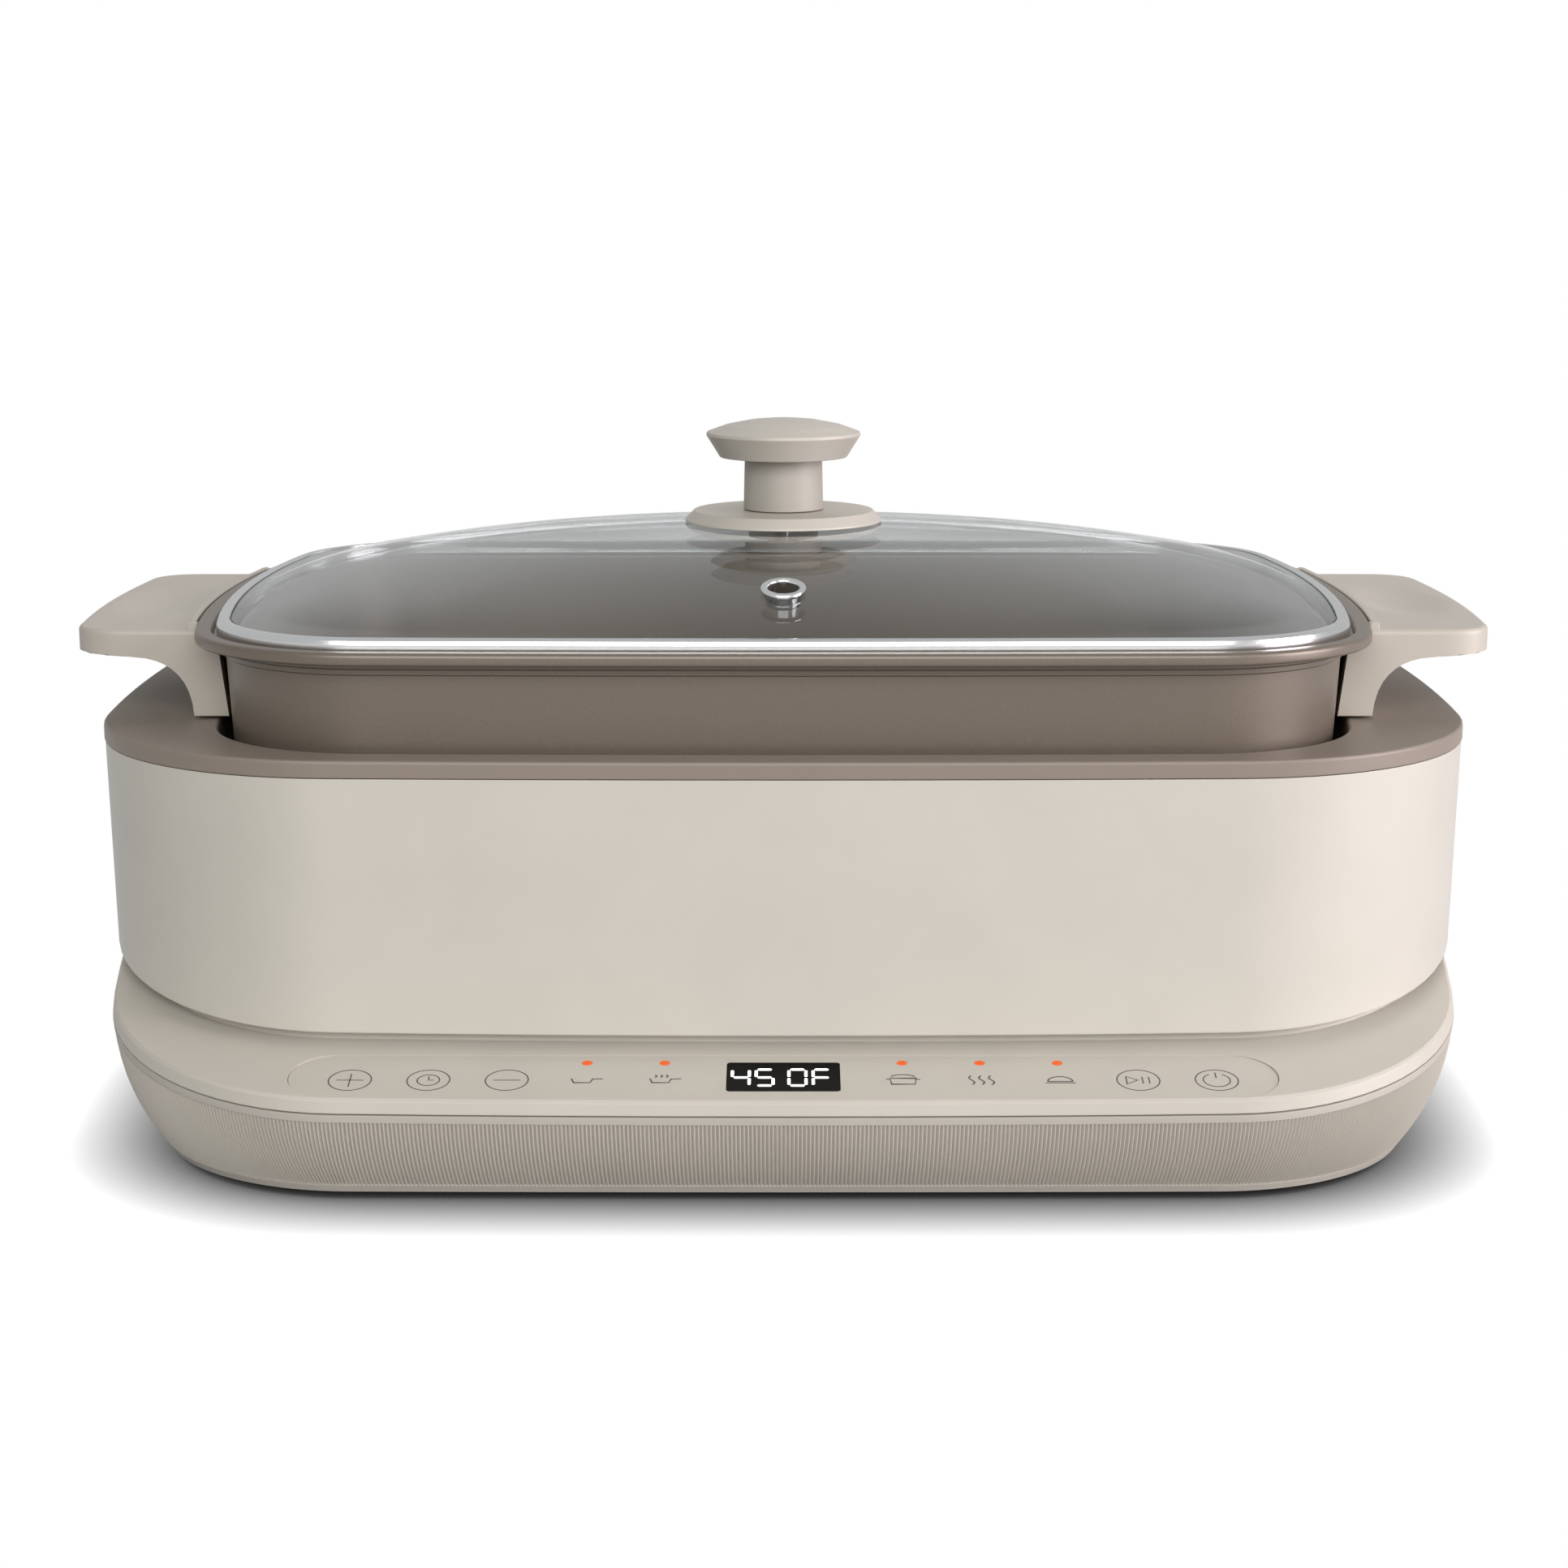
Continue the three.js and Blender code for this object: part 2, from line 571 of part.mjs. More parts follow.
function heatPlate() {
  const low = PLATE_TOP - PLATE_THICK;
  const slab = loft([
    centrePoint(low),
    ring(LID_PLAN, -PLATE_INSET, low),
    ring(LID_PLAN, -PLATE_INSET, PLATE_TOP - 1),
    ring(LID_PLAN, -PLATE_INSET - 1, PLATE_TOP),
    centrePoint(PLATE_TOP),
  ]);
  const legs = [-140, 140].flatMap((x) =>
    [-84, 84].map((y) => bar(4, WELL_FLOOR_Z + GAP, low + 1, [x, BODY_Y + y])));
  return cut(join(slab, ...legs), bar(13, 50, 80, [0, BODY_Y], 20));
}

// One tube bent into a rounded rectangle, with both ends turned down through the well's floor.
function heatingElement() {
  const z = WELL_FLOOR_Z + 0.7 + ELEMENT_RADIUS;
  const [halfX, halfY] = ELEMENT_HALF;
  const corner = ELEMENT_CORNER;
  const centres = [[1, -1, -90], [1, 1, 0], [-1, 1, 90], [-1, -1, 180]];
  const loop = centres.flatMap(([sx, sy, start]) =>
    [0, 30, 60, 90].map((turn) => {
      const angle = THREE.MathUtils.degToRad(start + turn);
      return [sx * (halfX - corner) + corner * Math.cos(angle),
        BODY_Y + sy * (halfY - corner) + corner * Math.sin(angle), z];
    }));
  const y = BODY_Y - halfY;
  const start = [[TERMINAL_X, y, 42], [TERMINAL_X, y, z - 6], [TERMINAL_X + 0.8, y, z - 3],
    [TERMINAL_X + 3, y, z - 0.8], [TERMINAL_X + 6, y, z], [TERMINAL_X + 14, y, z]];
  const end = start.map(([x, py, pz]) => [-x, py, pz]).reverse();
  return tube([...start, ...loop, ...end], ELEMENT_RADIUS, 56, 6);
}

function sensorSpring() {
  const turns = 3;
  const low = WELL_FLOOR_Z + 0.9;
  const rise = 65.3 - low;
  const steps = turns * 8;
  const coil = Array.from({ length: steps + 1 }, (_, i) => {
    const angle = (2 * Math.PI * turns * i) / steps;
    return [6.2 * Math.cos(angle), BODY_Y + 6.2 * Math.sin(angle), low + (rise * i) / steps];
  });
  return tube(coil, 0.6, steps, 5);
}

function addHeater() {
  const [halfX] = ELEMENT_HALF;
  addPiece(base, "heat_plate", heatPlate(), ALUMINIUM);
  addPiece(base, "heating_element", heatingElement(), TINNED);
  addPiece(base, "thermal_fuse",
    new THREE.CylinderGeometry(2.5, 2.5, 16, 10).rotateZ(Math.PI / 2)
      .translate(halfX / 2, BODY_Y + 10, WELL_FLOOR_Z - WELL_SHEET - 3), STEEL);
  addPiece(base, "sensor_spring", sensorSpring(), STEEL);
  const at = [0, BODY_Y];
  addPiece(sensor, "temperature_sensor", turned(
    [[0, 49], [3.5, 49], [4, 50], [4, 66.4], [10, 66.4], [10, 69], [9.2, PLATE_TOP], [0, PLATE_TOP]],
    at, 20), ALUMINIUM);
  addPiece(sensor, "sensor_clip", turned(
    [[4.3, 54.6], [7.5, 54.6], [7.5, 55.6], [4.3, 55.6], [4.3, 54.6]], at, 16), STEEL);
}

// ---- Cooking pot and handles --------------------------------------------------------------

function cookingPot() {
  const under = 160.6;
  const shape = loft([
    centrePoint(POT_BOTTOM),
    ring(LID_PLAN, -22, POT_BOTTOM),
    ring(LID_PLAN, -13, POT_BOTTOM + 3),
    ring(LID_PLAN, -WALL_IN - POT_DRAFT, POT_BOTTOM + 11),
    ring(LID_PLAN, -WALL_IN, under),
    ring(LID_PLAN, FLANGE_OUT - 0.6, under),
    ring(LID_PLAN, FLANGE_OUT, under + 0.8),
    ring(LID_PLAN, FLANGE_OUT, POT_RIM - 0.8),
    ring(LID_PLAN, FLANGE_OUT - 0.8, POT_RIM),
    ring(LID_PLAN, 2, POT_RIM),
    ring(LID_PLAN, 1, POT_LEDGE),
    ring(LID_PLAN, -WALL_IN - 1, POT_LEDGE),
    ring(LID_PLAN, -WALL_IN - POT_WALL, POT_LEDGE - 1.5),
    ring(LID_PLAN, -WALL_IN - POT_WALL - POT_DRAFT, POT_BOTTOM + 12),
    ring(LID_PLAN, -14.6, POT_BOTTOM + 5),
    ring(LID_PLAN, -22.6, POT_BOTTOM + 2.6),
    centrePoint(POT_BOTTOM + 2.6),
  ]);
  // Cast bosses on the end walls that the handle screws bite into.
  const wall = LID_PLAN.halfWidth - WALL_IN;
  const bosses = screwPlaces().map(([side, y]) => alongX(side, wall - 4, wall - 1, 5, y));
  const holes = screwPlaces().map(([side, y]) => alongX(side, wall - 2.6, wall + 4, 2.3, y));
  return cut(join(shape, ...bosses), ...holes);
}

// The four handle screws: which end (-1 or 1), and how far along it.
const screwPlaces = () =>
  [-1, 1].flatMap((side) => [-1, 1].map((along) => [side, BODY_Y + along * HANDLE_SCREW_Y]));

// A round bar along X at a handle screw's height, between two distances from the middle.
const alongX = (side, near, far, radius, y, sides = 8) =>
  new THREE.CylinderGeometry(radius, radius, far - near, sides)
    .rotateZ(Math.PI / 2)
    .translate((side * (near + far)) / 2, y, HANDLE_SCREW_Z);

// A grip seen from above: square shoulders, rounded corners and a slightly bowed tip.
function gripPlan() {
  const half = HANDLE_HALF;
  const shoulder = HANDLE_TIP - 2.4;
  const shape = new THREE.Shape();
  shape.moveTo(165, BODY_Y - half);
  shape.lineTo(200, BODY_Y - half);
  shape.quadraticCurveTo(shoulder - 2, BODY_Y - half + 1, shoulder, BODY_Y - half + 19);
  shape.quadraticCurveTo(HANDLE_TIP + 2.4, BODY_Y, shoulder, BODY_Y + half - 19);
  shape.quadraticCurveTo(shoulder - 2, BODY_Y + half - 1, 200, BODY_Y + half);
  shape.lineTo(165, BODY_Y + half);
  return shape;
}

// A grip seen from the front: a flat shelf that curves down into the bracket on the pot.
function gripSide() {
  const shape = new THREE.Shape();
  shape.moveTo(165, HANDLE_FOOT);
  shape.lineTo(193.4, HANDLE_FOOT);
  shape.quadraticCurveTo(196, 152, 215, 153.8);
  shape.lineTo(245, 154.9);
  shape.lineTo(245, HANDLE_TOP);
  shape.lineTo(165, HANDLE_TOP);
  return shape;
}

function rightHandle() {
  const shelf = common(
    plate(gripPlan(), HANDLE_FOOT - 5, HANDLE_TOP + 5),
    plate(gripSide(), -100, 100).rotateX(Math.PI / 2).translate(0, BODY_Y, 0),
  );
  const lip = common(
    loft([
      ring(LID_PLAN, FLANGE_OUT + 0.2, HANDLE_TOP - 1.5),
      ring(LID_PLAN, FLANGE_OUT + 2.5, HANDLE_TOP - 1.5),
      ring(LID_PLAN, FLANGE_OUT + 2.5, POT_RIM),
      ring(LID_PLAN, FLANGE_OUT + 0.2, POT_RIM),
    ]),
    block([150, BODY_Y - HANDLE_HALF, 150], [240, BODY_Y + HANDLE_HALF, 170]),
  );
  const potWall = loft([
    centrePoint(120), ring(LID_PLAN, -WALL_IN - 1.9, 120),
    ring(LID_PLAN, -WALL_IN + 2.9, 160.3), centrePoint(160.3)]);
  const flange = loft([
    centrePoint(160), ring(LID_PLAN, FLANGE_OUT + 0.4, 160),
    ring(LID_PLAN, FLANGE_OUT + 0.4, 170), centrePoint(170)]);
  const dimple = new THREE.SphereGeometry(1, 16, 10).scale(15, 40, 4)
    .translate(215.5, BODY_Y, HANDLE_TOP + 2);
  const bores = screwPlaces().filter(([side]) => side > 0).flatMap(([side, y]) =>
    [alongX(side, 175, 199, 2.3, y), alongX(side, SCREW_SEAT, 215, 4.4, y, 12)]);
  return cut(join(shelf, lip), potWall, flange, dimple, ...bores);
}

function mirrored(geometry) {
  const turnedOver = geometry.clone().scale(-1, 1, 1);
  turnedOver.index.array.reverse();
  return turnedOver;
}

function handleScrew(side, y) {
  return join(alongX(side, SCREW_SEAT - 6.1, SCREW_SEAT + 0.6, 1.8, y),
    alongX(side, SCREW_SEAT + GAP, SCREW_SEAT + 3.5, 3.8, y));
}

function addPot() {
  addPiece(pot, "cooking_pot", cookingPot(), POT_COAT);
  const right = rightHandle();
  addPiece(pot, "handle_right", right, GREIGE);
  addPiece(pot, "handle_left", mirrored(right), GREIGE);
  screwPlaces().forEach(([side, y], i) =>
    addPiece(pot, `handle_screw_${i + 1}`, handleScrew(side, y), STEEL));
}

// ---- Lid ----------------------------------------------------------------------------------

// Height of the glass's top face on the contour that is a share of the lid's size.
const domeZ = (share) => RIM_TOP - 0.3 + DOME_RISE * (1 - share ** DOME_POWER);

// One contour of the glass. They pass from the lid's outline at the rim to ellipses at the top.
function domeRing(share, down) {
  const { halfWidth } = LID_PLAN;
  const { depth } = LID_HALF;
  const squareness = share ** 4;
  return ring(LID_PLAN, 0, domeZ(share) - down).map((p) => {
    const angle = Math.atan2((p.y - BODY_Y) / depth, p.x / halfWidth);
    const x = THREE.MathUtils.lerp(halfWidth * Math.cos(angle), p.x, squareness);
    const y = THREE.MathUtils.lerp(depth * Math.sin(angle), p.y - BODY_Y, squareness);
    return new THREE.Vector3(share * x, BODY_Y + share * y, p.z);
  });
}

function lidGlass() {
  const edge = -RIM_SHEET - 0.2 - GAP;
  const low = RIM_BOTTOM + RIM_SHEET + GAP;
  const high = RIM_TOP - RIM_SHEET - GAP;
  const shares = [0.955, 0.88, 0.76, 0.58, 0.36, 0.17];
  const sheet = loft([
    centrePoint(domeZ(0) - GLASS_THICK),
    ...[...shares].reverse().map((share) => domeRing(share, GLASS_THICK)),
    ring(LID_PLAN, -RIM_WIDTH - 1, low),
    ring(LID_PLAN, edge, low),
    ring(LID_PLAN, edge, high),
    ring(LID_PLAN, -RIM_WIDTH - 0.4, high),
    ...shares.map((share) => domeRing(share, 0)),
    centrePoint(domeZ(0)),
  ]);
  return cut(sheet, bar(3, 150, 220, [0, BODY_Y]), ventTurned(bar(5.9, -20, 20)));
}

function lidRim() {
  const web = RIM_SHEET + 0.2;
  return loft([
    ring(LID_PLAN, 0, RIM_BOTTOM),
    ring(LID_PLAN, 0, RIM_TOP - 0.5),
    ring(LID_PLAN, -0.5, RIM_TOP),
    ring(LID_PLAN, -RIM_WIDTH, RIM_TOP),
    ring(LID_PLAN, -RIM_WIDTH, RIM_TOP - RIM_SHEET),
    ring(LID_PLAN, -web, RIM_TOP - RIM_SHEET),
    ring(LID_PLAN, -web, RIM_BOTTOM + RIM_SHEET),
    ring(LID_PLAN, -RIM_WIDTH, RIM_BOTTOM + RIM_SHEET),
    ring(LID_PLAN, -RIM_WIDTH, RIM_BOTTOM),
  ]);
}

// Moves a piece made about the origin to the vent's place, square to the sloping glass.
function ventTurned(geometry) {
  const share = -VENT_Y / LID_HALF.depth;
  const fall = (DOME_RISE * DOME_POWER * share ** (DOME_POWER - 1)) / LID_HALF.depth;
  return geometry.rotateX(Math.atan(fall)).translate(0, BODY_Y + VENT_Y, domeZ(share));
}

function ventGrommet() {
  const low = -GLASS_THICK - 0.8;
  return ventTurned(turned([
    [4.7, low - 0.6], [7, low - 0.6], [7, low], [5.5, low], [5.5, 0.7], [6.9, 0.7],
    [7.2, 1.5], [6.2, 2.4], [5, 2.2], [4.7, 1.2], [4.7, low - 0.6]], [0, 0], 20));
}

function addLid() {
  const at = [0, BODY_Y];
  const glassUnder = domeZ(0) - GLASS_THICK;
  const stemFoot = KNOB_SEAT + 3.9;
  addPiece(lid, "lid_glass", lidGlass(), GLASS);
  addPiece(lid, "lid_rim", lidRim(), STEEL);
  addPiece(lid, "vent_grommet", ventGrommet(), STEEL);
  addPiece(lid, "knob_base", turned([
    [2.8, KNOB_SEAT], [33.9, KNOB_SEAT], [34.2, KNOB_SEAT + 0.6], [31.1, stemFoot - 0.5],
    [30.5, stemFoot], [2.8, stemFoot], [2.8, KNOB_SEAT]], at, 24), GREIGE);
  addPiece(lid, "lid_knob", turned([
    [0, 206], [2.8, 206], [2.8, stemFoot + GAP], [13.8, stemFoot + GAP], [13.4, 212.3],
    [22, 212.3], [22.6, 212.9], [26.6, 219.6], [26.4, 220.7], [22, 222.4], [15, 224.4],
    [8, 225.3], [0, KNOB_TOP]], at, 24), GREIGE);
  addPiece(lid, "knob_washer", turned([
    [2.8, glassUnder - 1.8], [12, glassUnder - 1.8], [12, glassUnder - GAP],
    [2.8, glassUnder - GAP], [2.8, glassUnder - 1.8]], at, 20), RUBBER);
  addPiece(lid, "knob_screw", turned([
    [0, glassUnder - 4.6], [4.6, glassUnder - 4.6], [5.4, glassUnder - 3.6],
    [5.4, glassUnder - 2.1], [2.4, glassUnder - 2.1], [2.4, 205], [0, 205]], at, 16), STEEL);
}

// ---- Assembly -----------------------------------------------------------------------------

addPiece(base, "lower_housing", lowerHousing(), GREIGE);
addPiece(base, "deck_cover", deckCover(), CREAM);
addPiece(base, "body_shell", bodyShell(), CREAM);
addPiece(base, "top_ring", topRing(), TAUPE);
addPiece(base, "heating_well", heatingWell(), TINNED);
addPiece(base, "insulation_band", insulationBand(), FIBRE);
addPiece(base, "ribbon_cable", ribbonCable(), WIRE);
addPanel();
addPowerBoard();
addInlet();
addWires();
addFixings();
addHeater();
addPot();
addLid();

export default cooker;
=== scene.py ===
"""A rectangular slow cooker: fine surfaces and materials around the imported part.

Lengths are millimetres, in the part's own frame, until a mesh is made.
"""

from contextlib import contextmanager
from math import atan, atan2, cos, hypot, pi, radians, sin, sqrt, tan

import bmesh
import bpy
from mathutils import Matrix, Vector


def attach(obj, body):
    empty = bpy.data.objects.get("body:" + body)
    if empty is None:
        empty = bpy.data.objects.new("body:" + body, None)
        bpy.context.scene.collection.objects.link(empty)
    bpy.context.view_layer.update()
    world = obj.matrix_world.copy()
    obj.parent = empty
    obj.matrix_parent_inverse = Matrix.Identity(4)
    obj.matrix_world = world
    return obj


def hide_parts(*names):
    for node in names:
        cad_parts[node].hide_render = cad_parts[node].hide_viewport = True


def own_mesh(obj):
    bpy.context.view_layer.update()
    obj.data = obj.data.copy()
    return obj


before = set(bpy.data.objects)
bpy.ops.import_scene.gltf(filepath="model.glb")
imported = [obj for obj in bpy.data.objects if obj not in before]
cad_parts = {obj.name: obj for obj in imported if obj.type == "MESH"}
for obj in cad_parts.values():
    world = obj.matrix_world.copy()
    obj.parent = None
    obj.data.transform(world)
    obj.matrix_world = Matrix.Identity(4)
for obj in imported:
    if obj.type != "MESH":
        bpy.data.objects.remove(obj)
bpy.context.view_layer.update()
MM = 0.001
HEAD_ON = 0.04  # what glass mirrors of a ray that meets it square

# ---- The camera ----

LOOKING_DOWN = 11.57


def linked(name, data):
    obj = bpy.data.objects.new(name, data)
    bpy.context.scene.collection.objects.link(obj)
    return obj


camera = linked("camera", bpy.data.cameras.new("camera"))
camera.data.lens = 67.43
camera.data.sensor_width = 36.0
camera.location = (0.0002, -1.0031, 0.3051)
camera.rotation_euler = (radians(90 - LOOKING_DOWN), 0, 0)
camera.data.clip_start = 0.05
bpy.context.scene.camera = camera

# ---- The part's dimensions ----

BODY_Y = 15.6
DECK_TILT = 11
SLOPE = tan(radians(DECK_TILT))
BODY_HALF = dict(depth=144, corner=86.5, long_radius=4335, side_radius=915)
BODY = dict(half_width=226.1, widest=BODY_Y, front=BODY_HALF, back=BODY_HALF)
LID_HALF = dict(depth=130.3, corner=54.4, long_radius=5396, side_radius=552)
LID = dict(half_width=188.7, widest=BODY_Y, front=LID_HALF, back=LID_HALF)
BASE_CURVES = dict(corner=83.4, long_radius=5480, side_radius=800)
BASE = dict(half_width=222.7, widest=17.4, front=dict(depth=176.1, **BASE_CURVES),
            back=dict(depth=140.2, **BASE_CURVES))
SOLE = dict(half_width=206.5, widest=-15.7,
            front=dict(depth=133.4, corner=69, long_radius=12000, side_radius=445),
            back=dict(depth=156.6, corner=69, long_radius=3150, side_radius=900))

BASE_FRONT = BASE["widest"] - BASE["front"]["depth"]
BODY_FRONT = BODY_Y - BODY_HALF["depth"]
DECK_FRONT_Z = 35
SHELL_FOOT_Z = 45.25
FASCIA = 4.5
FASCIA_OUT = 0.9
SOLE_Z = 3.5
UNDERSIDE_Z = 2.5
NECK = 7.5
RING_TOP = 132.7
RING_FOOT = 127.3
WELL_RIM_Z = 117.5
WELL_FLOOR_Z = 57.5
POT_BOTTOM = 70
POT_RIM = 164.7
POT_LEDGE = 162.7
WALL_IN = 2.6
HANDLE_TOP = 162.3
RIM_BOTTOM = 163
RIM_TOP = 167.8
DOME_RISE = 22.3
DOME_POWER = 2.7
GLASS_THICK = 3.4
VENT_Y = -101
RIB_PITCH = 1.25
PANEL_TOP = -0.3

# ---- Outlines ----


def quarter(half_width, depth, corner, long_radius, side_radius):
    """The long edge's arc, the corner's and the side's, as (centre, radius, from, to)."""
    long = Vector((0, depth - long_radius))
    side = Vector((half_width - side_radius, 0))
    way = side - long
    length = way.length
    way.normalize()
    to_long = long_radius - corner
    to_side = side_radius - corner
    along = (length**2 + to_long**2 - to_side**2) / (2 * length)
    across = sqrt(to_long**2 - along**2)
    centre = long + way * along + Vector((way.y, -way.x)) * across
    v = centre - long
    w = centre - side
    a = atan2(v.y, v.x)
    b = atan2(w.y, w.x)
    return [(long, long_radius, pi / 2, a), (centre, corner, a, b), (side, side_radius, b, 0)]


def arcs(plan):
    """A whole outline as twelve arcs, anticlockwise from the middle of its front."""
    def placed(arc, sx, sy, back):
        centre, radius, start, end = arc
        at = (sx * centre.x, plan["widest"] + sy * centre.y)
        span = [atan2(sy * sin(t), sx * cos(t)) % (2 * pi) for t in (start, end)]
        if back:
            span.reverse()
        if span[1] < span[0]:
            span[1] += 2 * pi
        return (at, radius, *span)

    ahead = quarter(plan["half_width"], **plan["front"])
    behind = quarter(plan["half_width"], **plan["back"])
    return ([placed(a, 1, -1, False) for a in ahead]
            + [placed(a, 1, 1, True) for a in reversed(behind)]
            + [placed(a, -1, 1, False) for a in behind]
            + [placed(a, -1, -1, True) for a in reversed(ahead)])


ARCS = {id(plan): arcs(plan) for plan in (BODY, LID, BASE, SOLE)}
ARC_STEPS = (4, 16, 6, 6, 16, 4)
STATIONS = [k + i / ARC_STEPS[k % 6] for k in range(12) for i in range(ARC_STEPS[k % 6])]


def spots(plan, stations):
    """(x, y, normal x, normal y) at stations; a station is an arc's number and a share of it."""
    found = []
    for s in stations:
        (cx, cy), radius, start, end = ARCS[id(plan)][int(s)]
        a = start + (end - start) * (s - int(s))
        nx, ny = cos(a), sin(a)
        found.append((cx + radius * nx, cy + radius * ny, nx, ny))
    return found


def ring(plan, out, height, stations=None):
    """An outline moved outwards, at one height or on a sloping plane."""
    points = []
    for x, y, nx, ny in spots(plan, stations or STATIONS):
        py = y + ny * out
        points.append(Vector((x + nx * out, py, height(py) if callable(height) else height)))
    return points


def deck(above):
    return lambda y: DECK_FRONT_Z + SLOPE * (y - BASE_FRONT) + above


def shell_foot(above):
    return lambda y: SHELL_FOOT_Z + SLOPE * (y - BODY_FRONT) + above


def circle(radius, z, centre=(0, BODY_Y), sides=64):
    return [Vector((centre[0] + radius * cos(2 * pi * i / sides),
                    centre[1] + radius * sin(2 * pi * i / sides), z))
            for i in range(sides)]


# ---- Meshes ----


def soften(rings, radii, closed, steps=4):
    """Rounds the corners of every column of points that runs through the rings."""
    if not any(radii):
        return rings
    made = []
    count = len(rings)
    columns = max(len(r) for r in rings)
    for k, (points, radius) in enumerate(zip(rings, radii)):
        if not radius or (not closed and k in (0, count - 1)):
            made.append(points)
            continue
        before, after = rings[k - 1], rings[(k + 1) % count]
        arcs_here = [[] for _ in range(steps + 1)]
        for i in range(columns):
            p = points[i % len(points)]
            u = before[i % len(before)] - p
            v = after[i % len(after)] - p
            angle = max(u.angle(v), 0.05)
            reach = min(radius / tan(angle / 2), 0.49 * u.length, 0.49 * v.length)
            a = p + u.normalized() * reach
            b = p + v.normalized() * reach
            for j in range(steps + 1):
                t = j / steps
                arcs_here[j].append(a * (1 - t) ** 2 + p * 2 * t * (1 - t) + b * t**2)
        made += arcs_here
    return made


def skin(rings, closed):
    """Points and faces of a closed surface through rings. A ring of one point closes an end."""
    points, starts, faces = [], [], []
    for r in rings:
        starts.append(len(points))
        points += r
    count = len(rings)
    for k in range(count if closed else count - 1):
        a, b = rings[k], rings[(k + 1) % count]
        sa, sb = starts[k], starts[(k + 1) % count]
        n = max(len(a), len(b))
        for i in range(n):
            j = (i + 1) % n
            if len(a) == 1:
                faces.append((sa, sb + j, sb + i))
            elif len(b) == 1:
                faces.append((sa + i, sa + j, sb))
            else:
                faces.append((sa + i, sa + j, sb + j, sb + i))
    return points, faces


@contextmanager
def edited(mesh):
    b = bmesh.new()
    b.from_mesh(mesh)
    yield b
    b.to_mesh(mesh)
    b.free()


def new_mesh(name, points, faces):
    mesh = bpy.data.meshes.new(name)
    mesh.from_pydata([p * MM for p in points], [], faces)
    with edited(mesh) as b:
        bmesh.ops.remove_doubles(b, verts=b.verts, dist=1e-7)
        bmesh.ops.dissolve_degenerate(b, edges=b.edges, dist=1e-8)
        bmesh.ops.recalc_face_normals(b, faces=b.faces)
    return mesh


def sharp_edges(b, degrees):
    return [e for e in b.edges
            if len(e.link_faces) == 2 and e.calc_face_angle(0) > radians(degrees)]


def piece(name, points, faces, look, body="base", replaces=(), slot=None):
    """A new piece that rides on a body. NODE_fine stands in for the CAD's NODE, if it has one."""
    obj = linked(name, new_mesh(name, points, faces))
    obj.data.materials.append(look)
    smooth(obj)
    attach(obj, body)
    node = name.removesuffix("_fine")
    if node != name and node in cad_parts:
        replaces = [node]
    if replaces:
        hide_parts(*replaces)
    return obj


def smooth(obj, degrees=35):
    """Smooth faces, with a sharp edge wherever two of them meet at more than that angle."""
    with edited(obj.data) as b:
        for f in b.faces:
            f.smooth = True
        for e in b.edges:
            e.smooth = True
        for e in sharp_edges(b, degrees):
            e.smooth = False
    weighted = obj.modifiers.new("normals", "WEIGHTED_NORMAL")
    weighted.keep_sharp = True
    weighted.weight = 60


def lofted(name, profile, look, body="base", **more):
    """A piece through (plan, outwards, height, corner radius); a bare height is a centre.

    A profile that starts and ends at a centre is open there, and any other one is a closed loop.
    """
    rings, radii = [], []
    for entry in profile:
        if isinstance(entry, (int, float)):
            rings.append([Vector((0, BODY_Y, entry))])
            radii.append(0)
        else:
            plan, out, height, radius = entry
            rings.append(ring(plan, out, height))
            radii.append(radius)
    closed = len(rings[0]) > 1
    points, faces = skin(soften(rings, radii, closed), closed)
    return piece(name, points, faces, look, body, **more)


def turned(name, profile, look, body="base", centre=(0, BODY_Y), sides=64, matrix=None, **more):
    """A turned piece about a vertical axis, from (radius, height, corner radius) entries."""
    rings = [circle(r, z, centre, sides) if r > 0 else [Vector((*centre, z))]
             for r, z, _ in profile]
    closed = len(rings[0]) > 1
    points, faces = skin(soften(rings, [c for _, _, c in profile], closed), closed)
    if matrix:
        points = [matrix @ p for p in points]
    return piece(name, points, faces, look, body, **more)


def prism(outline, low, high, matrix=None):
    """Points and faces of a straight prism from a flat outline."""
    n = len(outline)
    points = [Vector((x, y, z)) for z in (low, high) for x, y in outline]
    faces = [tuple(reversed(range(n))), tuple(range(n, 2 * n))]
    faces += [(i, (i + 1) % n, n + (i + 1) % n, n + i) for i in range(n)]
    if matrix:
        points = [matrix @ p for p in points]
    return points, faces


def rounded_outline(width, depth, radius, centre=(0, 0), steps=10):
    """A rectangle with rounded corners; a stadium when the radius is half its depth."""
    points = []
    for k, (sx, sy) in enumerate([(1, -1), (1, 1), (-1, 1), (-1, -1)]):
        cx = centre[0] + sx * (width / 2 - radius)
        cy = centre[1] + sy * (depth / 2 - radius)
        for i in range(steps + 1):
            a = radians(-90 + 90 * k + 90 * i / steps)
            points.append((cx + radius * cos(a), cy + radius * sin(a)))
    return points


def cut(obj, *cutters):
    """Takes (points, faces) solids away from a piece's mesh."""
    obj.modifiers.clear()
    for points, faces in cutters:
        tool = linked("tool", new_mesh("tool", points, faces))
        change = obj.modifiers.new("cut", "BOOLEAN")
        change.operation = "DIFFERENCE"
        change.solver = "EXACT"
        change.object = tool
        graph = bpy.context.evaluated_depsgraph_get()
        result = bpy.data.meshes.new_from_object(obj.evaluated_get(graph))
        obj.modifiers.clear()
        obj.data = result
        bpy.data.objects.remove(tool)
    smooth(obj)
    return obj


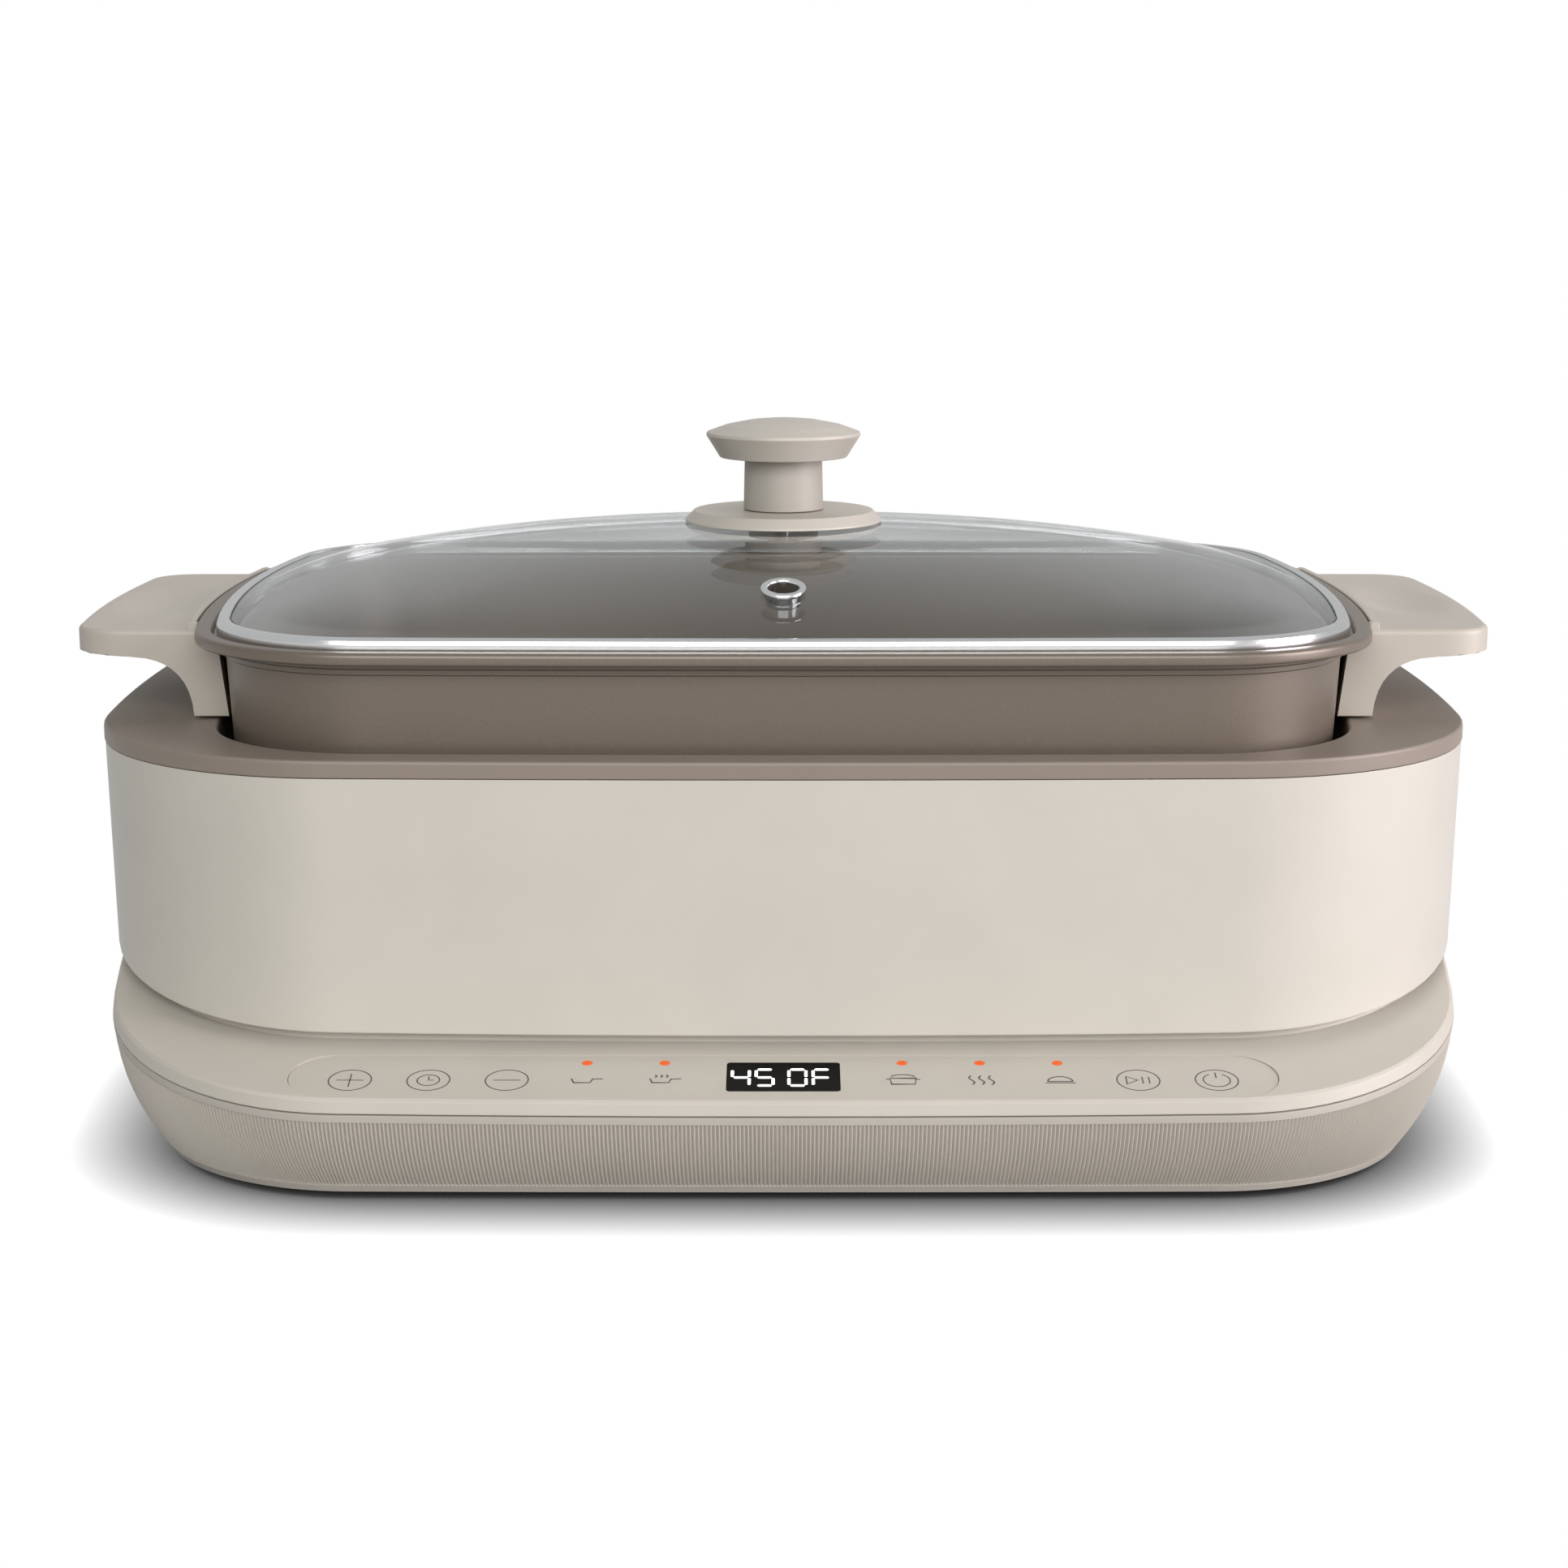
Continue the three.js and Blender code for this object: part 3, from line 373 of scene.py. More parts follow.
def cross_slot(at, low, high, length, width, matrix=None):
    """Two bars that cut a cross into a screw's head."""
    return [prism([(at[0] + x * a, at[1] + y * b)
                   for x, y in ((-1, -1), (1, -1), (1, 1), (-1, 1))], low, high, matrix)
            for a, b in ((length, width), (width, length))]


def bevelled(obj, width, segments=3, degrees=40):
    """Rounds a piece's sharp edges."""
    with edited(obj.data) as b:
        bmesh.ops.bevel(b, geom=sharp_edges(b, degrees), offset=width * MM, segments=segments,
                        profile=0.5, affect="EDGES", clamp_overlap=True)
        bmesh.ops.recalc_face_normals(b, faces=b.faces)
    obj.modifiers.clear()
    smooth(obj)
    return obj


# ---- Materials ----


class Look:
    """A node material: a Principled shader with small procedural variation."""

    def __init__(self, name, colour, rough, metal=0.0, **sockets):
        self.material = bpy.data.materials.new(name)
        self.material.use_nodes = True
        self.tree = self.material.node_tree
        self.shader = self.tree.nodes["Principled BSDF"]
        self.output = self.tree.nodes["Material Output"]
        self.colour = colour
        self.shader.inputs["Base Color"].default_value = (*colour, 1)
        self.shader.inputs["Roughness"].default_value = rough
        self.shader.inputs["Metallic"].default_value = metal
        for key, value in sockets.items():
            self.shader.inputs[key.replace("_", " ")].default_value = value
        self.coords = self.tree.nodes.new("ShaderNodeTexCoord").outputs["Object"]
        self.normal = None

    def node(self, kind, **values):
        made = self.tree.nodes.new(kind)
        for key, value in values.items():
            if hasattr(made, key):
                setattr(made, key, value)
            else:
                made.inputs[key.replace("_", " ")].default_value = value
        return made

    def link(self, source, target):
        self.tree.links.new(source, target)

    def noise(self, scale, detail=2.0, stretch=None):
        texture = self.node("ShaderNodeTexNoise", Scale=scale, Detail=detail)
        source = self.coords
        if stretch:
            mapping = self.node("ShaderNodeMapping", Scale=stretch)
            self.link(source, mapping.inputs["Vector"])
            source = mapping.outputs["Vector"]
        self.link(source, texture.inputs["Vector"])
        return texture.outputs["Fac"]

    def mottle(self, fac, spread):
        """The colour drifts a little, up and down, with the texture."""
        ramp = self.node("ShaderNodeValToRGB")
        ramp.color_ramp.elements[0].position = 0.3
        ramp.color_ramp.elements[1].position = 0.7
        for element, share in zip(ramp.color_ramp.elements, (1 - spread, 1 + spread)):
            element.color = (*[min(1, c * share) for c in self.colour], 1)
        self.link(fac, ramp.inputs["Fac"])
        self.link(ramp.outputs["Color"], self.shader.inputs["Base Color"])
        return self

    def roughen(self, fac, low, high):
        span = self.node("ShaderNodeMapRange", To_Min=low, To_Max=high)
        self.link(fac, span.inputs["Value"])
        self.link(span.outputs["Result"], self.shader.inputs["Roughness"])
        return self

    def bump(self, fac, strength, distance):
        made = self.node("ShaderNodeBump", Strength=strength, Distance=distance)
        self.link(fac, made.inputs["Height"])
        if self.normal:
            self.link(self.normal, made.inputs["Normal"])
        self.normal = made.outputs["Normal"]
        self.link(self.normal, self.shader.inputs["Normal"])
        return self


def moulded(name, colour, rough=0.42, spread=0.02, grain=0.00003, **sockets):
    """Satin moulded plastic with a fine spark-eroded grain."""
    look = Look(name, colour, rough, **sockets)
    look.mottle(look.noise(35, 3), spread)
    look.roughen(look.noise(600, 2), rough - 0.05, rough + 0.05)
    look.bump(look.noise(2600, 2), 0.35, grain)
    return look.material


CREAM = moulded("cream_plastic", (0.60, 0.565, 0.495), 0.40)
SHELL = moulded("shell_plastic", (0.61, 0.58, 0.51), 0.36, Coat_Weight=0.2, Coat_Roughness=0.28)
GREIGE = moulded("greige_plastic", (0.53, 0.485, 0.42), 0.40)
KNOB = moulded("knob_plastic", (0.56, 0.525, 0.46), 0.40)
# The knob's stem is the knob's plastic in a darker colour: painted shade, standing in for the
# shadow under the knob's head.
SHADED_KNOB_STEM = moulded("knob_stem_painted_shade", (0.41, 0.385, 0.34), 0.50)
SKIRT = moulded("skirt_plastic", (0.52, 0.485, 0.425), 0.48)
TAUPE = moulded("taupe_plastic", (0.265, 0.22, 0.18), 0.42)
PANEL = moulded("panel_film", (0.585, 0.555, 0.485), 0.30, grain=0.00001)
DARK = moulded("dark_plastic", (0.03, 0.03, 0.032), 0.45)
RUBBER = moulded("rubber", (0.045, 0.043, 0.04), 0.75, grain=0.00005)
INK = moulded("panel_ink", (0.05, 0.052, 0.052), 0.5, grain=0.000005)


def coated_metal():
    """The pot's non-stick coat: satin, with a fine fleck."""
    look = Look("pot_coat", (0.178, 0.145, 0.113), 0.34, 0.3, Coat_Weight=0.25,
                Coat_Roughness=0.35)
    look.mottle(look.noise(1500, 3), 0.06)
    look.roughen(look.noise(900, 2), 0.32, 0.42)
    look.bump(look.noise(1800, 2), 0.3, 0.00003)
    return look.material


def polished(name, colour, rough, stretch):
    look = Look(name, colour, rough, 1.0)
    look.roughen(look.noise(300, 3, stretch), rough - 0.03, rough + 0.05)
    look.bump(look.noise(700, 2, stretch), 0.12, 0.00001)
    return look.material


def glass():
    """Clear glass that bends nothing seen through it, and mirrors more at a glancing angle."""
    look = Look("clear_glass", (0.95, 0.965, 0.97), 0.03, 1.0)
    look.bump(look.noise(7, 1), 0.02, 0.0001)
    facing = look.node("ShaderNodeLayerWeight", Blend=0.5)
    glancing = look.node("ShaderNodeMath", operation="POWER")
    glancing.inputs[1].default_value = 5
    mirrored = look.node("ShaderNodeMath", operation="MULTIPLY_ADD")
    mirrored.inputs[1].default_value = 1 - HEAD_ON
    mirrored.inputs[2].default_value = HEAD_ON
    clear = look.node("ShaderNodeBsdfTransparent", Color=(0.965, 0.975, 0.975, 1))
    mix = look.node("ShaderNodeMixShader")
    look.link(facing.outputs["Facing"], glancing.inputs[0])
    look.link(glancing.outputs["Value"], mirrored.inputs[0])
    look.link(mirrored.outputs["Value"], mix.inputs["Fac"])
    look.link(clear.outputs["BSDF"], mix.inputs[1])
    look.link(look.shader.outputs["BSDF"], mix.inputs[2])
    look.link(mix.outputs["Shader"], look.output.inputs["Surface"])
    return look.material


def glowing(name, colour, light, strength):
    look = Look(name, colour, 0.3, Emission_Strength=strength)
    look.shader.inputs["Emission Color"].default_value = (*light, 1)
    look.bump(look.noise(1500, 1), 0.1, 0.00001)
    return look.material


def felt():
    look = Look("glass_fibre_felt", (0.66, 0.63, 0.55), 0.95)
    look.mottle(look.noise(500, 6), 0.12)
    look.bump(look.noise(1200, 8, (1, 1, 4)), 0.8, 0.0003)
    return look.material


POT_COAT = coated_metal()
STEEL = polished("polished_steel", (0.86, 0.87, 0.88), 0.18, (1, 1, 12))
SHEET = polished("coated_sheet", (0.52, 0.53, 0.54), 0.38, (1, 8, 1))
CAST = polished("cast_aluminium", (0.50, 0.51, 0.52), 0.42, (1, 1, 1))
GLASS = glass()
AMBER = glowing("amber_light", (0.2, 0.03, 0.002), (1.0, 0.14, 0.004), 0.72)
DIGITS = glowing("lit_digits", (0.9, 0.9, 0.9), (1.0, 1.0, 1.0), 1.6)
WINDOW = moulded("smoked_window", (0.002, 0.002, 0.002), 0.5, grain=0.000003,
                 Specular_IOR_Level=0.1)
BOARD = moulded("circuit_board", (0.03, 0.11, 0.06), 0.4, 0.12)
WIRE = moulded("wire_sleeve", (0.30, 0.03, 0.02), 0.5)
FELT = felt()

# ---- Base ----


def rib_stations():
    """Evenly spaced stations round the base's outline, and how many ribs fit."""
    lengths = [radius * (end - start) for _, radius, start, end in ARCS[id(BASE)]]
    total = sum(lengths)
    ribs = round(total / RIB_PITCH)
    stations, arc, start = [], 0, 0.0
    for i in range(ribs * 4):
        at = total * i / (ribs * 4)
        while at >= start + lengths[arc]:
            start += lengths[arc]
            arc += 1
        stations.append(arc + (at - start) / lengths[arc])
    return stations


RIB_STATIONS = rib_stations()
RIB_TOP = ring(BASE, FASCIA_OUT, deck(-FASCIA - 0.3), RIB_STATIONS)
RIB_TOP_NORMALS = [Vector((nx, ny, 0)) for _, _, nx, ny in spots(BASE, RIB_STATIONS)]
RIB_SOLE = ring(SOLE, 0, SOLE_Z, RIB_STATIONS)
RIB_WAVE = (-0.8, -0.25, 0.0, -0.25)  # across one rib, groove first


def skirt_ring(share=0.0, drop=0.0, rise=None, out=0.0, ribbed=False):
    """A ring of the skirt, part of the way down, or a distance below its top or above its foot."""
    points = []
    for i, (top, sole, normal) in enumerate(zip(RIB_TOP, RIB_SOLE, RIB_TOP_NORMALS)):
        height = top.z - sole.z
        down = 1 - rise / height if rise is not None else share + drop * (1 - share) / height
        p = top.lerp(sole, 0.2 * down + 0.8 * down**2.3)
        p.z = top.z - height * down
        wave = RIB_WAVE[i % 4] - 0.1 if ribbed else 0.0
        points.append(p + normal * (out + wave))
    return points


def make_skirt():
    shares = (0.08, 0.2, 0.34, 0.48, 0.6, 0.7, 0.79, 0.87)
    rings = [
        skirt_ring(out=-0.4),
        skirt_ring(drop=0.12, out=-0.1),
        skirt_ring(drop=0.4),
        skirt_ring(drop=2.2),
        skirt_ring(drop=2.45, out=-0.08),
        skirt_ring(drop=2.9, ribbed=True),
        *[skirt_ring(share=s, drop=3.4, ribbed=True) for s in shares],
        skirt_ring(rise=2.2, ribbed=True),
        skirt_ring(rise=1.8, out=-0.08),
        skirt_ring(rise=1.5),
        skirt_ring(rise=0.3),
        ring(SOLE, -0.25, SOLE_Z - 0.6, RIB_STATIONS),
        ring(SOLE, -1.0, UNDERSIDE_Z + 0.05, RIB_STATIONS),
        ring(SOLE, -1.4, UNDERSIDE_Z, RIB_STATIONS),
        ring(SOLE, -3.2, UNDERSIDE_Z, RIB_STATIONS),
        ring(SOLE, -3.6, SOLE_Z + 1.6, RIB_STATIONS),
        skirt_ring(share=0.6, out=-2.5),
        skirt_ring(out=-2.5),
    ]
    points, faces = skin(rings, True)
    skirt = piece("lower_housing_skirt", points, faces, SKIRT, "base", ["lower_housing"])
    cut(skirt, socket_block(9, 2, 120, 170))


INLET_X, INLET_Z = 110, 38
INLET_WIDTH, INLET_HEIGHT = 27, 20
INLET_FRONT, INLET_FACE = 136, 155.6
FOOT_PLACES = ((-160, -108), (160, -108), (-160, 96), (160, 96))
SCREW_PLACES = ((-150, -131), (150, -131), (-180.5, 107.6), (180.5, 107.6))
UPRIGHT = Matrix.Rotation(radians(-90), 4, "X")  # a plan in x and -z, extruded along y


def bar(radius, low, high, centre=(0, BODY_Y), sides=32, matrix=None):
    points, faces = skin([[Vector((*centre, low))], circle(radius, low, centre, sides),
                          circle(radius, high, centre, sides), [Vector((*centre, high))]], False)
    return [matrix @ p for p in points] if matrix else points, faces


def make_floor():
    plate = lofted("lower_housing_floor", [
        UNDERSIDE_Z, (SOLE, -3.1, UNDERSIDE_Z, 0), (SOLE, -3.1, UNDERSIDE_Z + 3, 0),
        UNDERSIDE_Z + 3], SKIRT)
    cut(plate, *[bar(4.5, 0, 4, at) for at in SCREW_PLACES],
        *[bar(2.2, 0, 10, at) for at in SCREW_PLACES],
        *[bar(3.3, 0, 10, at) for at in FOOT_PLACES])
    for i, at in enumerate(FOOT_PLACES):
        turned(f"foot_{i + 1}_rubber",
               [(0, 0, 0), (7.2, 0, 0), (9, 0, 0.8), (8.6, 2.2, 0.3), (3, 2.2, 0), (3, 6.5, 0.5),
                (0, 6.5, 0)], RUBBER, "base", at, 48, replaces=[f"foot_{i + 1}"])
    for i, at in enumerate(SCREW_PLACES):
        screw = turned(f"base_screw_{i + 1}_fine",
                       [(0, 2.6, 0), (4, 2.6, 0.5), (4, 3.7, 0), (1.6, 3.7, 0), (1.6, 16, 0),
                        (0, 17.2, 0)], STEEL, "base", at, 32)
        cut(screw, *cross_slot(at, 0, 3.4, 2, 0.45))


def make_deck():
    cover = lofted("deck_cover_fine", [
        (BASE, -2.4, deck(-FASCIA), 0),
        (BASE, FASCIA_OUT, deck(-FASCIA), 0.35),
        (BASE, 0.35, deck(-0.75), 0.5),
        (BASE, -0.6, deck(0), 0.5),
        (BODY, -NECK, deck(0), 0.9),
        (BODY, -NECK, shell_foot(4), 0),
        (BODY, -NECK - 2, shell_foot(4), 0),
        (BODY, -NECK - 2, deck(0), 0),
        (LID, 1, deck(0), 0),
        (LID, 1, deck(-2.5), 0),
        (BASE, -4.6, deck(-2.5), 0),
        (BASE, -4.6, deck(-FASCIA - 3.5), 0),
        (BASE, -2.6, deck(-FASCIA - 3.5), 0),
    ], CREAM)
    recess = prism(rounded_outline(302.4, 27.4, 13.7, (0, PANEL_Y), 24), PANEL_TOP - 1.2, 5, TILTED)
    window = prism(rounded_outline(34.6, 18.7, 1, (0, PANEL_Y)), -9, 5, TILTED)
    cut(cover, recess, window, *light_holes(1.9, 24, -9))


def light_holes(radius, sides, low):
    return [prism([(x + radius * cos(2 * pi * i / sides),
                    LIGHT_Y + radius * sin(2 * pi * i / sides)) for i in range(sides)],
                  low, 5, TILTED) for x in LIGHT_X]


# The touch panel's own frame: x along the front, y up the slope, z out of the deck.
TILTED = (Matrix.Translation((0, BASE_FRONT, DECK_FRONT_Z))
          @ Matrix.Rotation(radians(DECK_TILT), 4, "X"))
PANEL_Y = 16.1
LIGHT_Y = 25
ICON_Y = 13.9
LIGHT_X = (-60.4, -36.5, 36.5, 60.4, 84.3)


def make_panel():
    overlay = piece("control_panel_overlay_fine",
                    *prism(rounded_outline(302, 27, 13.5, (0, PANEL_Y), 32), PANEL_TOP - 1,
                           PANEL_TOP, TILTED), PANEL)
    bevelled(overlay, 0.12, 2)
    cut(overlay, prism(rounded_outline(34.8, 18.7, 1.2, (0, PANEL_Y)), -5, 5, TILTED),
        *light_holes(1.68, 32, -5))
    window = piece("display_window_fine",
                   *prism(rounded_outline(34.6, 18.5, 1.1, (0, PANEL_Y)), PANEL_TOP - 1, PANEL_TOP,
                          TILTED), WINDOW)
    bevelled(window, 0.1, 2)
    for i, x in enumerate(LIGHT_X):
        turned(f"indicator_light_{i + 1}_lens",
               [(0, -8, 0), (1.6, -8, 0), (1.6, PANEL_TOP + 0.02, 0.2), (0, PANEL_TOP + 0.1, 0)],
               AMBER, "base", (x, LIGHT_Y), 32, matrix=TILTED,
               replaces=[f"indicator_light_{i + 1}"])


def stroke(points, width, closed):
    """The outline of a pen stroke of one width along a line of points."""
    pts = [Vector(p) for p in points]
    n = len(pts)
    left, right = [], []
    for i, p in enumerate(pts):
        before = pts[i - 1] if i or closed else p
        after = pts[(i + 1) % n] if i < n - 1 or closed else p
        way = (after - before).normalized()
        a = (p - before).normalized() if p != before else way
        side = Vector((-way.y, way.x))
        miter = 1 / max(abs(Vector((-a.y, a.x)).dot(side)), 0.5)
        left.append(p + side * width / 2 * miter)
        right.append(p - side * width / 2 * miter)
    return left, right


def print_strokes(name, strokes, look, width=0.3, lift=0.04, rounded=False):
    """Marks printed on the panel, each a thin raised line, or a rounded bar."""
    points, faces = [], []
    if rounded:
        for (x0, y0), (x1, y1) in strokes:
            long = hypot(x1 - x0, y1 - y0) + width * 0.4
            size = (long, width) if y0 == y1 else (width, long)
            bar_points, bar_faces = prism(
                rounded_outline(*size, width * 0.49, ((x0 + x1) / 2, (y0 + y1) / 2), 5),
                PANEL_TOP - 0.1, PANEL_TOP + lift, TILTED)
            faces += [tuple(k + len(points) for k in f) for f in bar_faces]
            points += bar_points
        strokes = []
    for line in strokes:
        closed = line[0] == line[-1]
        path = line[:-1] if closed else line
        left, right = stroke(path, width, closed)
        n = len(path)
        base = len(points)
        for z in (PANEL_TOP - 0.1, PANEL_TOP + lift):
            points += [TILTED @ Vector((p.x, p.y, z)) for p in right]
            points += [TILTED @ Vector((p.x, p.y, z)) for p in left]
        for i in range(n if closed else n - 1):
            j = (i + 1) % n
            a = [base + i, base + j, base + n + j, base + n + i]
            b = [k + 2 * n for k in a]
            faces += [tuple(reversed(a)), tuple(b), (a[0], a[1], b[1], b[0]),
                      (a[2], a[3], b[3], b[2])]
        if not closed:
            for i, flip in ((0, False), (n - 1, True)):
                end = (base + n + i, base + i, base + 2 * n + i, base + 3 * n + i)
                faces.append(tuple(reversed(end)) if flip else end)
    return piece(name, points, faces, look)


def arc(cx, cy, radius, start=0, end=360, steps=40, squash=1.0):
    angles = [radians(start + (end - start) * i / steps) for i in range(steps + 1)]
    return [(round(cx + radius * cos(a), 6), round(cy + squash * radius * sin(a), 6))
            for a in angles]


PLUS_X, CLOCK_X, MINUS_X, START_X, POWER_X = -132, -108.1, -84.2, 108.1, 132


def icon_marks():
    """Generic pictures for the ringed touch places, left to right."""
    y = ICON_Y
    return [
        *[arc(x, y, 6.5, steps=56) for x in (PLUS_X, CLOCK_X, MINUS_X, START_X, POWER_X)],
        [(PLUS_X - 4.1, y), (PLUS_X + 4.1, y)], [(PLUS_X, y - 4.1), (PLUS_X, y + 4.1)],
        arc(CLOCK_X, y, 3.4, steps=36), [(CLOCK_X, y + 2.3), (CLOCK_X, y), (CLOCK_X + 1.7, y)],
        [(MINUS_X - 4.1, y), (MINUS_X + 4.1, y)],
        [(START_X - 3.6, y - 2.4), (START_X - 3.6, y + 2.4), (START_X - 0.2, y),
         (START_X - 3.6, y - 2.4)],
        *[[(START_X + dx, y - 2.1), (START_X + dx, y + 2.1)] for dx in (1.3, 3.3)],
        arc(POWER_X, y, 4.1, 118, 422, 34), [(POWER_X, y + 1.4), (POWER_X, y + 4.9)],
    ]


def function_marks():
    """A pan, a hot pan, a lidded pot, steam and a dish cover."""
    y = ICON_Y
    pan, hot_pan, pot, steam, cover = LIGHT_X
    marks = []
    for x in (pan, hot_pan):
        marks += [[(x - 4.2, y + 1), (x - 3.4, y - 1.6), (x + 1.6, y - 1.6), (x + 2.4, y + 1)],
                  [(x + 2.4, y + 0.6), (x + 5.4, y + 0.9)]]
    marks += [[(hot_pan + dx, y + 1.6), (hot_pan + dx + 0.5, y + 2.5), (hot_pan + dx, y + 3.4)]
              for dx in (-2.6, -0.9, 0.8)]
    marks += [[(pot - 4, y + 1.2), (pot - 3.6, y - 2.6), (pot + 3.6, y - 2.6), (pot + 4, y + 1.2),
               (pot - 4, y + 1.2)],
              [(pot - 5.2, y + 0.5), (pot - 4, y + 0.5)],
              [(pot + 4, y + 0.5), (pot + 5.2, y + 0.5)],
              arc(pot, y + 1.9, 3.6, 10, 170, 14, 0.45)]
    rise = [k * 0.7 for k in range(9)]
    marks += [[(steam + dx + 0.8 * sin(t * 1.1), y - 2.8 + t) for t in rise] for dx in (-3, 0, 3)]
    marks += [[(cover - 4.6, y - 1.7), (cover + 4.6, y - 1.7)],
              arc(cover, y - 0.8, 3.8, 0, 180, 18, 0.8),
              [(cover - 3.8, y - 0.8), (cover + 3.8, y - 0.8)]]
    return marks


SEGMENTS = {"a": (0.13, 1, 0.87, 1), "b": (1, 0.93, 1, 0.56), "c": (1, 0.44, 1, 0.07),
            "d": (0.13, 0, 0.87, 0), "e": (0, 0.44, 0, 0.07), "f": (0, 0.93, 0, 0.56),
            "g": (0.13, 0.5, 0.87, 0.5)}
FIGURES = (("fgbc", -15.6), ("afgcd", -8.3), ("abcdef", 1.7), ("aefg", 9.1))


def make_digits():
    """Seven-segment figures on the display: the uprights are one piece and the bars another."""
    width, height, low = 5.2, 10.2, PANEL_Y - 5.6
    kinds = {True: [], False: []}
    for keys, x in FIGURES:
        for x0, y0, x1, y1 in (SEGMENTS[key] for key in keys):
            kinds[x0 == x1].append([(x + x0 * width, low + y0 * height),
                                    (x + x1 * width, low + y1 * height)])
    print_strokes("display_digit_uprights", kinds[True], DIGITS, 0.95, 0.03, rounded=True)
    print_strokes("display_digit_bars", kinds[False], DIGITS, 1.3, 0.03, rounded=True)


def socket_block(wider, corner, low, high):
    """An upright block round the socket, wider than it by some amount."""
    return prism(rounded_outline(INLET_WIDTH + wider, INLET_HEIGHT + wider, corner,
                                 (INLET_X, -INLET_Z)), low, high, UPRIGHT)


def make_inlet():
    pad = piece("lower_housing_inlet_pad", *socket_block(10, 3, 138, INLET_FACE - 0.3), SKIRT)
    cut(pad, socket_block(0.6, 1, 130, 165))
    bevelled(pad, 0.5)
    inlet = piece("power_inlet_fine", *socket_block(6, 2.5, INLET_FACE, INLET_FACE + 1.8), DARK)
    cut(inlet, socket_block(-6, 2, 130, 165))
    bevelled(inlet, 0.35)
    cup = piece("power_inlet_cup", *socket_block(0, 1.5, INLET_FRONT, INLET_FACE + 0.6), DARK)
    cut(cup, socket_block(-6.2, 2, INLET_FRONT + 5, 165))
    for i, dx in enumerate((-5, 5)):
        turned(f"inlet_pin_{i + 1}_fine",
               [(0, 131, 0), (1.95, 131, 0.3), (1.95, 150.4, 0.9), (0, 150.4, 0)], STEEL, "base",
               (INLET_X + dx, -INLET_Z), 32, matrix=UPRIGHT)


# ---- Body ----


def make_body():
    lofted("body_shell_fine", [
        (BODY, -1.7, shell_foot(0), 0.7),
        (BODY, -0.3, 127, 0.2),
        (BODY, -2.8, 127, 0),
        (BODY, -4.2, shell_foot(0), 0.2),
    ], SHELL)
    lofted("top_ring_fine", [
        (BODY, 0, RING_FOOT, 0.25),
        (BODY, 0, RING_TOP, 1.2),
        (LID, 0.6, RING_TOP, 1.6),
        (LID, 0.6, WELL_RIM_Z + 0.5, 0.2),
        (LID, 2.8, WELL_RIM_Z + 0.5, 0),
        (LID, 2.8, RING_TOP - 2.7, 0),
        (BODY, -5.8, RING_TOP - 2.7, 0),
        (BODY, -5.8, RING_FOOT - 6, 0),
        (BODY, -3.8, RING_FOOT - 6, 0),
        (BODY, -3.8, RING_FOOT, 0),
    ], TAUPE)
    under = WELL_FLOOR_Z - 1.2
    well = lofted("heating_well_fine", [
        under, (LID, -5, under, 10), (LID, -2.4, WELL_RIM_Z - 1.2, 1.5),
        (LID, 8.6, WELL_RIM_Z - 1.2, 0.2), (LID, 8.6, WELL_RIM_Z, 0.2),
        (LID, -3.6, WELL_RIM_Z, 1.2), (LID, -6.2, WELL_FLOOR_Z, 9), WELL_FLOOR_Z,
    ], SHEET)
    cut(well, bar(4.6, 40, 66), *[bar(6, 40, 66, (x, BODY_Y - 62)) for x in (-18, 18)])
    plate = lofted("heat_plate_fine", [
        64.7, (LID, -27, 64.7, 0.3), (LID, -27, 69.7, 1), 69.7,
    ], CAST)
    cut(plate, bar(13, 50, 80, sides=64))
    for i, (x, y) in enumerate((a, b) for a in (-140, 140) for b in (-84, 84)):
        turned(f"heat_plate_leg_{i + 1}", [(0, 57.8, 0), (4, 57.8, 0.4), (4, 65, 0), (0, 65, 0)],
               CAST, "base", (x, BODY_Y + y), 32)
    turned("temperature_sensor_fine",
           [(0, 49, 0), (3.5, 49, 0.5), (4, 51, 0.3), (4, 66.4, 0.3), (10, 66.4, 0.3),
            (10, 69.7, 0.8), (0, 69.7, 0)], CAST, "sensor")


def make_spring():
    """The coil under the feeler's disc, made at one length; in the real cooker it shortens as the
    pot presses the feeler down.
    """
    turns, radius, wire, low, high = 3, 6.2, 0.6, 58.4, 65.3
    steps, sides = turns * 32, 10
    rings = []
    for i in range(steps + 1):
        around = 2 * pi * turns * i / steps
        out = Vector((cos(around), sin(around), 0))
        middle = Vector((0, BODY_Y, low + (high - low) * i / steps)) + out * radius
        rings.append([middle + (out * cos(a) + Vector((0, 0, sin(a)))) * wire
                      for a in (2 * pi * k / sides for k in range(sides))])
    rings = [[sum(rings[0], Vector()) / sides], *rings, [sum(rings[-1], Vector()) / sides]]
    spring = piece("sensor_spring_fine", *skin(rings, False), STEEL)
    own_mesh(spring)


# ---- Cooking pot ----


